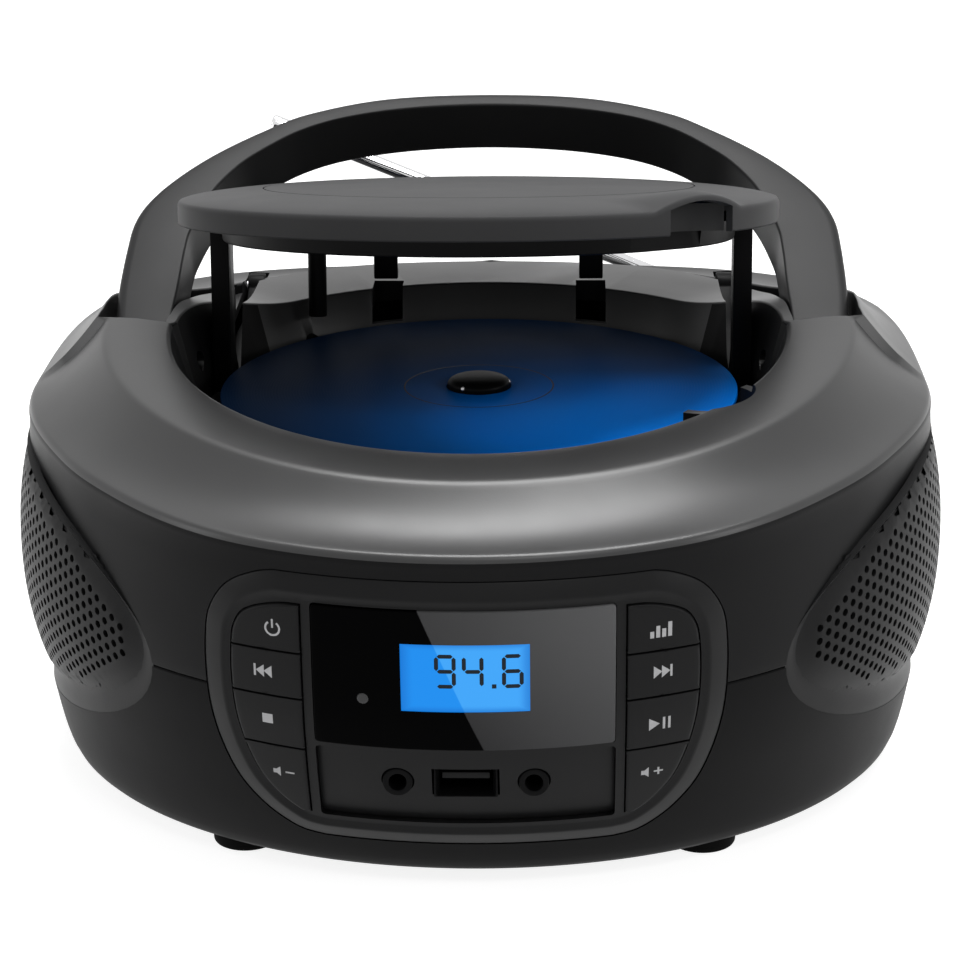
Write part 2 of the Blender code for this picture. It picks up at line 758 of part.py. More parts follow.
def notch_outline():
    """Crescent of wall that closes the finger notch off from the hollow behind it."""
    spots = circle(NOTCH_R + WALL, TURN_STEPS)
    start = TURN_STEPS // 4
    arc = [(NOTCH_X + u, NOTCH_Y + v) for u, v in spots[start:] + spots[:start]]
    arc = [spot for spot in arc if math.hypot(*spot) > WELL_R + SHOULDER_ROUND]
    first, last = math.atan2(*reversed(arc[0])), math.atan2(*reversed(arc[-1]))
    inner = WELL_R + REAR_RIM
    steps = 6
    for i in range(1, steps):
        a = last + (first - last) * i / steps
        arc.append((inner * math.cos(a), inner * math.sin(a)))
    return arc


def bottom_housing():
    def outline(z, out, height=None):
        spots = [body_point(2.0 * math.pi * i / TURN_STEPS, z, out) for i in range(TURN_STEPS)]
        return [(x, y, z if height is None else height) for x, y, _ in spots]

    low = INSIDE_SHARES[0] * BASE_Z
    seam_z = SPLIT_Z - GAP
    rings = [outline(low, -FLOOR_INSET, BASE_Z + WALL)]
    rings += [outline(share * BASE_Z, -WALL) for share in INSIDE_SHARES]
    rings += [outline(SPLIT_Z, -WALL, seam_z), outline(SPLIT_Z, -SEAM_BEVEL, seam_z)]
    rings += [outline(seam_z - SEAM_BEVEL, 0.0)]
    rings += [outline(row[0] * BASE_Z, 0.0) for row in BODY_SHARES if row[0] * BASE_Z < seam_z - 2.0 * SEAM_BEVEL]
    made = piece("bottom_housing", loft(rings), CHARCOAL)
    posts = []
    for x in (POST_R - BOARD_HALF, BOARD_HALF - POST_R):
        for y in (BOARD_FRONT + POST_R, BOARD_REAR - POST_R):
            posts.append(rod(POST_R, (x, y, BASE_Z + WALL / 2.0), (x, y, BOARD_Z - GAP), SMALL_STEPS))
    add(made, posts)
    cutters = [slab(panel_outline(GAP), *panel_cut(), "Y")]
    for side in (-1, 1):
        cutters += [speaker_hole(side), grille_bed(side)]
    hole = rounded(-DOOR_HALF - GAP, DOOR_HALF + GAP, DOOR_FRONT - GAP, DOOR_REAR + GAP, DOOR_CORNER + GAP)
    cutters.append(slab(hole, BASE_Z - OVERRUN, BASE_Z + OVERRUN))
    middle = (INLET_X, INLET_Y, INLET_Z)
    cutters.append(block(middle, INLET_WIDE + 2.0 * GAP, 2.0 * INLET_CUT, INLET_HIGH + 2.0 * GAP))
    cut(made, cutters)


def panel_rows():
    """Rows of (height, half width) down the front panel."""
    return [(PANEL_TOP - PANEL_HIGH * down, PANEL_HALF * wide) for down, wide in PANEL_SHARES]


def panel_outline(swell):
    right = [(half, z) for z, half in panel_rows()]
    return swelled(right + [(-x, z) for x, z in reversed(right)], swell)


def panel_cut():
    """How far a cutter runs through the front wall, from outside to inside."""
    return -BODY_FRONT - OVERRUN, -BODY_FRONT + PANEL_CUT


def speaker_hole(side):
    ends = [(side * x, 0.0, GRILLE_Z) for x in (SPEAKER_FACE_X - OVERRUN, SPEAKER_FACE_X + 2.0 * OVERRUN)]
    return rod(SPEAKER_HOLE_R, *ends, WIDE_STEPS)


def curved_plate(name, rows, proud, deep, columns, look):
    """A plate on the body's front curve, wide by height, proud of it and deep behind."""
    points, faces = [], []
    for out in (proud, -deep):
        for z, half in rows:
            for j in range(columns):
                x = half * (2.0 * j / (columns - 1) - 1.0)
                points.append((x, front_y(x, z) - out, z))
    sheet = len(rows) * columns
    for side in (0, sheet):
        for i in range(len(rows) - 1):
            for j in range(columns - 1):
                a = side + i * columns + j
                faces.append((a, a + 1, a + columns + 1, a + columns))
    rim = list(range(columns))
    rim += [i * columns + columns - 1 for i in range(1, len(rows))]
    rim += [(len(rows) - 1) * columns + j for j in range(columns - 2, -1, -1)]
    rim += [i * columns for i in range(len(rows) - 2, 0, -1)]
    for a, b in zip(rim, rim[1:] + rim[:1]):
        faces.append((a, b, b + sheet, a + sheet))
    return piece(name, (points, faces), look)


def field_rows(top, low, count):
    """Rows of (height, half width) of a rectangle in the middle of the panel."""
    return [(top + (low - top) * i / (count - 1), FIELD_HALF) for i in range(count)]


def button_outline(row, side, margin=0.0):
    """Outline of one button in the panel's front view: row 0 is the top, side is -1 or 1."""
    edge = sorted((z, x) for x, z in panel_outline(-BUTTON_MARGIN)[:len(PANEL_SHARES)])
    top, low = (FIELD_TOP - BUTTON_COLUMN_HIGH * BUTTON_EDGE_SHARES[row + down] for down in (0, 1))
    top, low = top - BUTTON_SLIT, low + BUTTON_SLIT
    count = 8 if row == len(LEFT_BUTTONS) - 1 else 3
    outline = []
    for i in range(count):
        z = top + (low - top) * i / (count - 1)
        outline.append((between(edge, z)[1], z))
    outline += [(BUTTON_IN, low), (BUTTON_IN, top)]
    return swelled([(side * x, z) for x, z in outline], margin)


def button(name, row, side):
    """A button whose face follows the panel, with a stem behind it."""
    outline = button_outline(row, side)
    middle_x, middle_z = (sum(values) / len(outline) for values in zip(*outline))
    rings = []
    levels = ((1.0, -BUTTON_STEM), (1.0, BUTTON_PROUD - BUTTON_BEVEL), (BUTTON_FACE_SHARE, BUTTON_PROUD))
    for share, out in levels:
        spots = [(middle_x + (x - middle_x) * share, middle_z + (z - middle_z) * share) for x, z in outline]
        rings.append([(x, front_y(x, z) - out, z) for x, z in spots])
    piece(name, loft(rings), PANEL_BLACK, pivot=(middle_x, front_y(middle_x, middle_z), middle_z))


def front_panel():
    made = curved_plate("front_panel", panel_rows(), PANEL_PROUD, PANEL_DEEP, PANEL_COLUMNS, PANEL_BLACK)
    half = FIELD_HALF + GAP
    cutters = []
    for top, low in ((FIELD_TOP, DISPLAY_LOW), (JACK_FIELD_TOP, JACK_FIELD_LOW)):
        cutters.append(slab(rounded(-half, half, low - GAP, top + GAP, GAP, 2), *panel_cut(), "Y"))
    for _, row, side in BUTTONS:
        cutters.append(slab(button_outline(row, side, GAP), *panel_cut(), "Y"))
    cut(made, cutters)


def display():
    rows = field_rows(FIELD_TOP, DISPLAY_LOW, DISPLAY_ROWS)
    curved_plate("display_lens", rows, PANEL_PROUD - DISPLAY_SINK, DISPLAY_DEEP, FIELD_COLUMNS, GLOSS)
    back = front_y(0.0, LCD_Z) + LCD_BACK
    half = LCD_WIDE / 2.0
    z0, z1 = LCD_Z - LCD_HIGH / 2.0, LCD_Z + LCD_HIGH / 2.0
    shape = box(LCD_SHIFT - half, LCD_SHIFT + half, back, back + LCD_THICK, z0, z1)
    piece("lcd_module", shape, LCD_BLUE, smooth=False)
    board = back + LCD_THICK + GAP
    low, top = DISPLAY_LOW + KEY_BOARD_INSET, FIELD_TOP - KEY_BOARD_INSET
    shape = box(-KEY_BOARD_HALF, KEY_BOARD_HALF, board, board + BOARD_THICK, low, top)
    piece("key_board", shape, GREEN, smooth=False)


def sockets():
    rows = field_rows(JACK_FIELD_TOP, JACK_FIELD_LOW, JACK_FIELD_ROWS)
    plate = curved_plate("jack_panel", rows, -JACK_SINK, JACK_SINK + JACK_PANEL_DEEP, FIELD_COLUMNS, BLACK)
    face = front_y(JACK_X, JACK_Z) + JACK_SINK
    front, back = face - OVERRUN, face + OVERRUN
    cutters = [rod(JACK_R + GAP, (x, front, JACK_Z), (x, back, JACK_Z), WIDE_STEPS) for x in (-JACK_X, JACK_X)]
    cutters.append(block((0.0, face, JACK_Z), USB_WIDE + 2.0 * GAP, 2.0 * OVERRUN, USB_HIGH + 2.0 * GAP))
    cut(plate, cutters)
    for name, x in (("headphone_jack", -JACK_X), ("line_in_jack", JACK_X)):
        profile = ((JACK_HOLE_R, -JACK_PROUD), (JACK_R, -JACK_PROUD), (JACK_R, JACK_LONG), (0.0, JACK_LONG),
                   (0.0, JACK_LONG - JACK_BASE), (JACK_HOLE_R, JACK_LONG - JACK_BASE))
        piece(name, turned(profile, ROUND_STEPS, (x, face, JACK_Z), "Y"), CHROME)
    half_x, half_z = USB_WIDE / 2.0, USB_HIGH / 2.0
    shell = box(-half_x, half_x, face - USB_PROUD, face + USB_LONG, JACK_Z - half_z, JACK_Z + half_z)
    usb = piece("usb_socket", shell, STEEL, smooth=False)
    half_x, half_z = half_x - USB_SHELL, half_z - USB_SHELL
    back = face + USB_LONG - 2.0 * USB_SHELL
    cut(usb, [box(-half_x, half_x, face - OVERRUN, back, JACK_Z - half_z, JACK_Z + half_z)])
    half_x = USB_WIDE / 2.0 - USB_TONGUE_ROOM
    low = JACK_Z + USB_TONGUE_LOW
    start = face + USB_TONGUE_START
    add(usb, [box(-half_x, half_x, start, back + USB_SHELL, low, low + USB_TONGUE_HIGH)])


def disc_well():
    """Floor of the well with a slot for the pickup, a hole for the shaft and blocks for the rails."""
    edge = WELL_R - GAP
    lip_z = WELL_Z + WELL_LIP
    profile = ((0.0, WELL_Z), (edge - WELL_LIP, WELL_Z), (edge - WELL_LIP + WELL_FILLET, lip_z), (edge, lip_z),
               (edge, FLOOR_LOW), (0.0, FLOOR_LOW))
    made = piece("disc_well", turned(profile, TURN_STEPS), BLACK)
    low, high = WELL_Z - OVERRUN, WELL_Z + OVERRUN
    cutters = [arm_slot(side, low, high) for side in (-1, 1)]
    cutters.append(rod(SHAFT_R + SHAFT_ROOM, (0.0, 0.0, low), (0.0, 0.0, high), WIDE_STEPS))
    half = LENS_R + LENS_ROOM
    cutters.append(slab(rounded(-half, half, PICKUP_FRONT, PICKUP_REAR, LENS_R), low, high))
    cutters.append(lock_well())
    blocks = []
    half, block_low = RAIL_BLOCK_WIDE / 2.0, FLOOR_LOW - RAIL_BLOCK_HIGH
    for x in (-RAIL_X, RAIL_X):
        for start in (RAIL_FRONT, RAIL_REAR - RAIL_BLOCK_LONG):
            rear = start + RAIL_BLOCK_LONG
            blocks.append(box(x - half, x + half, start, rear, block_low, WELL_Z - FLOOR_THICK / 2.0))
        ends = [(x, RAIL_FRONT - RAIL_BLOCK_LONG, RAIL_Z), (x, RAIL_REAR + RAIL_BLOCK_LONG, RAIL_Z)]
        cutters.append(rod(RAIL_R + GAP, *ends, SMALL_STEPS))
    add(made, blocks)
    cut(made, cutters)


def disc_drive():
    disc = ((DISC_HOLE_R, 0.0), (DISC_R, 0.0), (DISC_R, -DISC_THICK), (DISC_HOLE_R, -DISC_THICK))
    piece("compact_disc", turned(disc, TURN_STEPS), BLUE)
    table = -DISC_THICK - GAP
    hub = ((0.0, HUB_RISE), (HUB_R - HUB_BEVEL, HUB_RISE), (HUB_R, HUB_RISE - HUB_BEVEL), (HUB_R, table),
           (TABLE_R, table), (TABLE_R, table - TABLE_THICK), (SHAFT_R, table - TABLE_THICK),
           (SHAFT_R, FLOOR_LOW), (0.0, FLOOR_LOW))
    piece("spindle_hub", turned(hub, WIDE_STEPS), BLACK)
    top = FLOOR_LOW - GAP
    piece("spindle_motor", rod(MOTOR_R, (0.0, 0.0, top), (0.0, 0.0, top - MOTOR_HIGH), WIDE_STEPS), STEEL)
    for name, x in (("pickup_rail_left", -RAIL_X), ("pickup_rail_right", RAIL_X)):
        piece(name, rod(RAIL_R, (x, RAIL_FRONT, RAIL_Z), (x, RAIL_REAR, RAIL_Z), SMALL_STEPS), STEEL)
    half_x, half_y, half_z = SLED_WIDE / 2.0, SLED_LONG / 2.0, SLED_HIGH / 2.0
    outline = rounded(-half_x, half_x, PICKUP_Y - half_y, PICKUP_Y + half_y, SLED_CORNER)
    sled = piece("pickup_sled", slab(outline, RAIL_Z - half_z, RAIL_Z + half_z), BLACK)
    add(sled, [rod(LENS_R, (0.0, PICKUP_Y, RAIL_Z), (0.0, PICKUP_Y, LENS_TOP), WIDE_STEPS)])
    for x in (-RAIL_X, RAIL_X):
        ends = [(x, y, RAIL_Z) for y in (PICKUP_Y - SLED_LONG, PICKUP_Y + SLED_LONG)]
        cut(sled, [rod(RAIL_R + GAP, *ends, SMALL_STEPS)])


def handle():
    """The handle's U lying flat, then tilted about its pivot."""
    edges = []
    for half, reach, shares in ((HANDLE_INNER_HALF, HANDLE_INNER_REACH, HANDLE_INNER_SHARES),
                                (HANDLE_OUTER_HALF, HANDLE_OUTER_REACH, HANDLE_OUTER_SHARES)):
        right = handle_edge(half, reach, shares)
        edges.append(right + [(-x, r) for x, r in reversed(right[:-1])])
    half = HANDLE_THICK / 2.0
    levels = ((half, HANDLE_EDGE), (half - HANDLE_EDGE, 0.0), (HANDLE_EDGE - half, 0.0), (-half, HANDLE_EDGE))
    rings = []
    for inner, outer in zip(*edges):
        inner, outer = Vector(inner), Vector(outer)
        across = (outer - inner).normalized()
        loop = [(inner + across * inset, up) for up, inset in levels]
        loop += [(outer - across * inset, up) for up, inset in reversed(levels)]
        rings.append([(spot.x, HANDLE_Y + spot.y, HANDLE_Z + up) for spot, up in loop])
    pivot = (0.0, HANDLE_Y, HANDLE_Z)
    made = piece("handle", loft(rings), CHARCOAL, pivot, Matrix.Rotation(HANDLE_TILT, 4, "X"))
    cut(made, [pivot_bore(side, PIVOT_PIN_OUTER + GAP) for side in (-1, 1)])
    for name, side in (("handle_pin_left", -1), ("handle_pin_right", 1)):
        ends = [(side * x, HANDLE_Y, HANDLE_Z) for x in (PIVOT_PIN_INNER, PIVOT_PIN_OUTER)]
        piece(name, rod(PIVOT_PIN_R, *ends), BLACK, pivot=ends[0])


def posed(shape):
    """A shape given in the shut lid's flat place, moved to where the open lid stands."""
    points, faces = shape
    turn = lid_turn().to_3x3()
    return [tuple(turn @ (Vector(p) - Vector(LID_PIVOT)) + Vector(LID_PIVOT)) for p in points], faces


def lid_turn():
    return Matrix.Rotation(LID_SHUT_TILT - LID_OPEN, 4, "X")


def lid():
    """Lid pieces in the lid's own plane, then tilted about the hinge to the open place."""
    flat = Matrix.Rotation(-LID_SHUT_TILT, 2) @ Vector((LID_SHUT_Y - LID_Y, LID_SHUT_Z - LID_Z))
    centre = (0.0, LID_Y + flat.x, 0.0)
    top = LID_Z + flat.y
    seat = {"pivot": LID_PIVOT, "turn": lid_turn()}
    dome = [(0.0, top + LID_DOME)]
    dome += [(LID_R * s, top + LID_DOME * math.sqrt(1.0 - s * s)) for s in LID_SHARES]
    dome += [(LID_R - LID_ROUND, top + LID_ROUND), (LID_R, top), (LID_R, top - LID_SKIRT)]
    inner = LID_R - LID_WALL
    dome += [(inner, top - LID_SKIRT), (inner, top - LID_ROUND / 2.0), (0.0, top + LID_DOME - LID_CROWN_WALL)]
    cover = piece("lid_cover", turned(dome, TURN_STEPS, centre), CHARCOAL, **seat)
    arch_z = top - LID_SKIRT - ARCH_DROP
    start = (ARCH_X, centre[1] - ARCH_Y, arch_z)
    end = (ARCH_X + ARCH_REACH, centre[1] - ARCH_Y - ARCH_REACH, arch_z)
    cut(cover, [posed(rod(ARCH_R, start, end, WIDE_STEPS))])
    lid_liner(centre, top - LINER_SEAT, seat)
    for name, side in (("lid_hinge_pin_left", -1), ("lid_hinge_pin_right", 1)):
        ends = [(side * ARM_X + reach, LID_Y, LID_Z) for reach in (-HINGE_PIN_HALF, HINGE_PIN_HALF)]
        piece(name, rod(HINGE_PIN_R, *ends), STEEL, pivot=ends[0])


def lid_liner(centre, flange, seat):
    """The black inner lid with its arms, hooks and safety pin, and the disc clamp in its middle."""
    low = flange - LINER_FLANGE
    under = low - LINER_DROP
    hole = CLAMP_R + CLAMP_ROOM
    outer, inner = LINER_R - LINER_RIM / 5.0, LINER_R - LINER_RIM * 0.7
    profile = ((hole, flange), (LINER_FLANGE_R, flange), (LINER_FLANGE_R, low), (LINER_R, low), (outer, under),
               (inner, under), (LINER_R - LINER_RIM, low), (hole, low))
    liner = piece("lid_liner", turned(profile, TURN_STEPS, centre), BLACK, **seat)
    root = flange - LINER_FLANGE / 2.0
    extras = []
    for side in (-1, 1):
        ends = (side * ARM_X - ARM_WIDE / 2.0, side * ARM_X + ARM_WIDE / 2.0)
        extras.append(slab(arm_outline(centre[1], root), *ends, "X"))
    tip = low - HOOK_LONG
    half = HOOK_WIDE / 2.0
    for x in (HOOK_LEFT, HOOK_RIGHT):
        y = centre[1] + math.sqrt(HOOK_REACH ** 2 - x * x)
        extras.append(box(x - half, x + half, y - HOOK_THICK, y, tip, root))
        barb = (y - HOOK_THICK + GAP, y + HOOK_BARB, tip + GAP, tip + HOOK_THICK)
        extras.append(box(x - half + GAP, x + half - GAP, *barb))
    lock_y = centre[1] + LOCK_Y
    extras.append(rod(LOCK_R, (LOCK_X, lock_y, root), (LOCK_X, lock_y, low - LOCK_LONG)))
    add(liner, [posed(shape) for shape in extras])
    reach = HINGE_PIN_HALF
    for side in (-1, 1):
        ends = [(side * ARM_X - reach, LID_Y, LID_Z), (side * ARM_X + reach, LID_Y, LID_Z)]
        cut(liner, [posed(rod(HINGE_PIN_R + GAP, *ends))])
    rest = flange - GAP
    nose = low - CLAMP_DROP - CLAMP_NOSE
    bore = HUB_R + CLAMP_BORE_ROOM
    clamp = ((0.0, rest), (CLAMP_R, rest), (CLAMP_R, low - CLAMP_DROP), (CLAMP_R - CLAMP_BEVEL, nose),
             (bore, nose), (bore, nose + CLAMP_BORE_DEEP), (0.0, nose + CLAMP_BORE_DEEP))
    piece("disc_clamp", turned(clamp, WIDE_STEPS, centre), BLACK, **seat)


def arm_outline(centre_y, root):
    """Bent hinge arm from the liner down into the body and back to the pivot."""
    front, back = centre_y + ARM_ROOT, centre_y + ARM_ROOT + ARM_ROOT_LONG
    span = LID_Y - front
    dip = LID_Z - ARM_DIP
    outline = [(front, root)]
    outline += [(front + span * along, dip + ARM_DIP * up) for along, up in ARM_LOWER_SHARES]
    for degrees in range(-60, 181, 40):
        a = math.radians(degrees)
        outline.append((LID_Y + HINGE_BOSS_R * math.cos(a), LID_Z + HINGE_BOSS_R * math.sin(a)))
    outline += [(front + span * along, dip + ARM_DIP * up) for along, up in ARM_UPPER_SHARES]
    outline.append((back, root))
    return outline


def grille_loop(share, side, out, domed=True):
    """One ring of a grille's oval, on the dome or flat on the body's curve."""
    bulge = GRILLE_BULGE * (1.0 - share ** GRILLE_POWER) if domed else 0.0
    loop = []
    for across, up in circle(share, GRILLE_STEPS):
        turn = GRILLE_TURN + GRILLE_TURN_HALF * across
        x, y, z = body_point(turn, GRILLE_Z + GRILLE_HALF_HIGH * up, bulge + out)
        loop.append((side * x, y, z))
    return loop


def grille_bed(side):
    """Cutter for the shallow oval bed that a grille sits in."""
    shares = [s * GRILLE_BED_SHARE for s in GRILLE_SHARES]
    rings = [grille_loop(s, side, -GRILLE_SINK - GAP, False) for s in shares]
    rings += [grille_loop(s, side, OVERRUN, False) for s in reversed(shares)]
    return loft(rings)


def speakers():
    face = SPEAKER_FACE_X
    rim = SPEAKER_R - SPEAKER_RIM
    edge = rim - GAP
    deep = face - SPEAKER_DEEP
    seat = face - SPEAKER_FLANGE
    basket = ((SPEAKER_R, face), (SPEAKER_R, seat), (MAGNET_R, face - BASKET_DEEP), (MAGNET_R, deep),
              (0.0, deep), (0.0, face - MAGNET_CORE_DEEP), (MAGNET_BORE_R, face - MAGNET_BORE_DEEP),
              (rim, seat - BASKET_SHEET), (rim, face))
    lip = face - CONE_SINK
    cone = ((0.0, face - CONE_DUST_DEEP), (CONE_DUST_R, face - CONE_DEEP), (edge, lip), (edge, lip - CONE_EDGE),
            (CONE_DUST_R, face - CONE_BACK), (0.0, face - CONE_BACK))
    centre = (0.0, 0.0, GRILLE_Z)
    for word, side in (("left", -1), ("right", 1)):
        rings = [grille_loop(s, side, -GRILLE_SINK) for s in GRILLE_SHARES]
        rings += [grille_loop(s, side, GRILLE_THICK - GRILLE_SINK) for s in reversed(GRILLE_SHARES)]
        piece(f"grille_{word}", loft(rings), BLACK)
        for name, profile, look in (("speaker", basket, STEEL), ("cone", cone, BLACK)):
            shape = turned([(r, side * x) for r, x in profile], WIDE_STEPS, centre, "X")
            piece(f"{name}_{word}", shape, look)


def antenna():
    """Turret, and four tubes that slide into each other."""
    along = Vector((-math.cos(ANTENNA_TILT), 0.0, math.sin(ANTENNA_TILT)))
    start = Vector((ANTENNA_X, ANTENNA_Y, ANTENNA_Z))
    front, rear = ANTENNA_Y - TURRET_LONG, ANTENNA_Y - ANTENNA_RS[0] - GAP
    base = rod(TURRET_R, (ANTENNA_X, front, ANTENNA_Z), (ANTENNA_X, rear, ANTENNA_Z), WIDE_STEPS)
    piece("antenna_base", base, BLACK)
    tilt = along.to_track_quat("Z", "Y").to_matrix()
    last = len(ANTENNA_RS) - 1
    for number, radius in enumerate(ANTENNA_RS):
        low = ANTENNA_STEP / 2.0 * number
        length = ANTENNA_LONG + ANTENNA_STEP * number - low
        if number < last:
            bore = ANTENNA_RS[number + 1] + ANTENNA_FIT
            profile = ((0.0, 0.0), (radius, 0.0), (radius, length), (bore, length), (bore, ANTENNA_FLOOR),
                       (0.0, ANTENNA_FLOOR))
        else:
            neck = length + TIP_NECK
            shoulder, end = neck + TIP_SLOPE, neck + TIP_SLOPE + TIP_LONG + TIP_ROUND
            profile = ((0.0, 0.0), (radius, 0.0), (radius, neck), (TIP_R, shoulder), (TIP_R, end - TIP_ROUND),
                       (TIP_R - TIP_ROUND, end), (0.0, end))
        points, faces = turned(profile, SMALL_STEPS)
        moved = [tuple(tilt @ Vector(p) + start + along * low) for p in points]
        piece(f"antenna_section_{number + 1}", (moved, faces), CHROME, pivot=tuple(start))


def feet():
    places = [(side * FOOT_X_FRONT, FOOT_Y_FRONT) for side in (-1, 1)]
    places += [(side * FOOT_X_REAR, FOOT_Y_REAR) for side in (-1, 1)]
    top = BASE_Z - GAP
    profile = ((0.0, top), (FOOT_R, top), (FOOT_R, GROUND_Z + FOOT_BEVEL), (FOOT_R - FOOT_BEVEL, GROUND_Z),
               (0.0, GROUND_Z))
    for number, (x, y) in enumerate(places):
        piece(f"foot_{number + 1}", turned(profile, ROUND_STEPS, (x, y, 0.0)), RUBBER)


def batteries():
    """Battery door in the base, and the bay above it with a contact at each end."""
    outline = rounded(-DOOR_HALF, DOOR_HALF, DOOR_FRONT, DOOR_REAR, DOOR_CORNER)
    piece("battery_door", slab(outline, BASE_Z, BASE_Z + DOOR_THICK), CHARCOAL, pivot=(0.0, DOOR_FRONT, BASE_Z))
    half, front, rear = DOOR_HALF - BAY_INSET, DOOR_FRONT + BAY_INSET, DOOR_REAR - BAY_INSET
    roof = BASE_Z + BAY_HIGH
    shell = box(-half, half, front, rear, BASE_Z + DOOR_THICK + GAP, roof)
    bay = piece("battery_bay", shell, BLACK, smooth=False)
    half, front, rear = half - BAY_WALL, front + BAY_WALL, rear - BAY_WALL
    cut(bay, [box(-half, half, front, rear, BASE_Z, roof - BAY_WALL)])
    middle = (front + rear) / 2.0
    outer, inner = half - GAP, half - GAP - CONTACT_THICK
    front, rear = middle - CONTACT_HALF, middle + CONTACT_HALF
    for name, x0, x1 in (("battery_contact_left", -outer, -inner), ("battery_contact_right", inner, outer)):
        plate = box(x0, x1, front, rear, BASE_Z + CONTACT_LOW, BASE_Z + CONTACT_HIGH)
        piece(name, plate, STEEL, smooth=False)


def power_supply():
    """Mains inlet in the rear wall, with two prongs, and the transformer on the floor."""
    middle = (INLET_X, INLET_Y - INLET_DEEP / 2.0, INLET_Z)
    inlet = piece("ac_inlet", block(middle, INLET_WIDE, INLET_DEEP, INLET_HIGH), BLACK, smooth=False)
    inside = (INLET_X, INLET_Y + INLET_BACK, INLET_Z)
    wide, high = INLET_WIDE - 2.0 * INLET_WALL, INLET_HIGH - 2.0 * INLET_WALL
    cut(inlet, [block(inside, wide, 2.0 * INLET_DEEP, high)])
    back, tip = INLET_Y - INLET_DEEP + INLET_WALL / 2.0, INLET_Y - PRONG_ROOM
    prongs = [INLET_X + side * PRONG_X for side in (-1, 1)]
    add(inlet, [rod(PRONG_R, (x, back, INLET_Z), (x, tip, INLET_Z), SMALL_STEPS) for x in prongs])
    rest = BASE_Z + WALL + GAP
    middle = (TRANSFORMER_X, TRANSFORMER_Y, rest + TRANSFORMER_HIGH / 2.0)
    shape = block(middle, TRANSFORMER_WIDE, TRANSFORMER_LONG, TRANSFORMER_HIGH)
    piece("transformer", shape, STEEL, smooth=False)
    board = box(-BOARD_HALF, BOARD_HALF, BOARD_FRONT, BOARD_REAR, BOARD_Z, BOARD_Z + BOARD_THICK)
    piece("main_board", board, GREEN, smooth=False)


top_housing()
bottom_housing()
front_panel()
display()
sockets()
for button_name, button_row, button_side in BUTTONS:
    button(button_name, button_row, button_side)
disc_well()
disc_drive()
handle()
lid()
speakers()
antenna()
feet()
batteries()
power_supply()
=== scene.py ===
"""Looks of the portable disc player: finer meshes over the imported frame, materials, light and camera.

Lengths are millimetres in the player's own frame, whose origin is the middle of the disc's top.
The front is -Y, up is +Z, and a turn is an angle round the body from the front.
"""

import json
import math

import bmesh
import bpy
from mathutils import Matrix, Quaternion, Vector

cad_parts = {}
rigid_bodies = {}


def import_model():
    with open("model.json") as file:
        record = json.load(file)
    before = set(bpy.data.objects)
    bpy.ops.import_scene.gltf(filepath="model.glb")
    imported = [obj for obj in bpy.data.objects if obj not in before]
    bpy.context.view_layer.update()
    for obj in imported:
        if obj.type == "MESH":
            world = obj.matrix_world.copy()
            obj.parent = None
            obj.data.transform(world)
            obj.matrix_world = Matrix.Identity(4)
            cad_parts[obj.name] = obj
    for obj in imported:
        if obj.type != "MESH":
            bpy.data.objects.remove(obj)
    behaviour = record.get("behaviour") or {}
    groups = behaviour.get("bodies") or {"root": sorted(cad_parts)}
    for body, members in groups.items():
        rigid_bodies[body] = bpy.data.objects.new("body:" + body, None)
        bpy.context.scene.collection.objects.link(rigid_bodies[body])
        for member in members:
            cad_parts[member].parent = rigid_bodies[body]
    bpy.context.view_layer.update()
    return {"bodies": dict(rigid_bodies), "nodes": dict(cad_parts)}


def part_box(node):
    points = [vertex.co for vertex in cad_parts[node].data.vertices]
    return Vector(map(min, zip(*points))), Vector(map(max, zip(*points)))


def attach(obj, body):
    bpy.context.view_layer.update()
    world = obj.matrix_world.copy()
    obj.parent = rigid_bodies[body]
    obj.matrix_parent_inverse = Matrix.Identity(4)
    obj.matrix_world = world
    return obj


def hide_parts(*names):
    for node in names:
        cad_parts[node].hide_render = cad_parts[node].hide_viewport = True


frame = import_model()

# Units and mesh steps
MM = 0.001
TURN_STEPS = 216
TURNS = [math.tau * i / TURN_STEPS for i in range(TURN_STEPS)]
DISC_STEPS = 192
WIDE_STEPS = 64
ROUND_STEPS = 4
CORNER_STEPS = 12
FAIR_STEPS = 8
HANDLE_STEPS = 6
SMOOTH_ANGLE = math.radians(32.0)
SOFTEN_ANGLE = math.radians(40.0)
WELD = 0.0004
OVERRUN = 12.0

# Body: half width, front and rear depth, and the shares of them at shares of the way to the base
BODY_HALF = 104.5
BODY_FRONT = 105.3
BODY_REAR = 103.0
BASE_Z = -82.0
SPLIT_Z = -36.5
SEAM_GAP = 0.14
SEAM_ROUND = 0.3
WALL = 2.4
WALL_SHARES = (0.08, 0.2, 0.32, 0.44, 0.56, 0.68, 0.8, 0.9)
LOWER_WALL_START = 2.0
LOWER_WALL_STEP = 2.6
LOWER_SHARES = (0.915, 0.671, 0.97)
FLOOR_INSET = 8.4
BASE_EDGE = ((0.976, 0.0), (0.99, 0.1), (0.998, -0.3), (1.0, -1.2))
BODY_SHARES = (
    (-0.1, 0.989, 0.980, 0.994), (0.05, 0.997, 0.991, 1.0), (0.146, 1.0, 0.999, 1.0),
    (0.293, 1.0, 1.0, 0.998), (0.445, 0.998, 0.995, 0.993), (0.549, 0.995, 0.98, 0.985),
    (0.671, 0.989, 0.948, 0.971), (0.805, 0.975, 0.9, 0.946), (0.915, 0.96, 0.853, 0.918),
    (0.976, 0.944, 0.822, 0.895), (1.0, 0.919, 0.798, 0.87),
)
FRONT_POWER = 2.0
REAR_POWER = 3.4

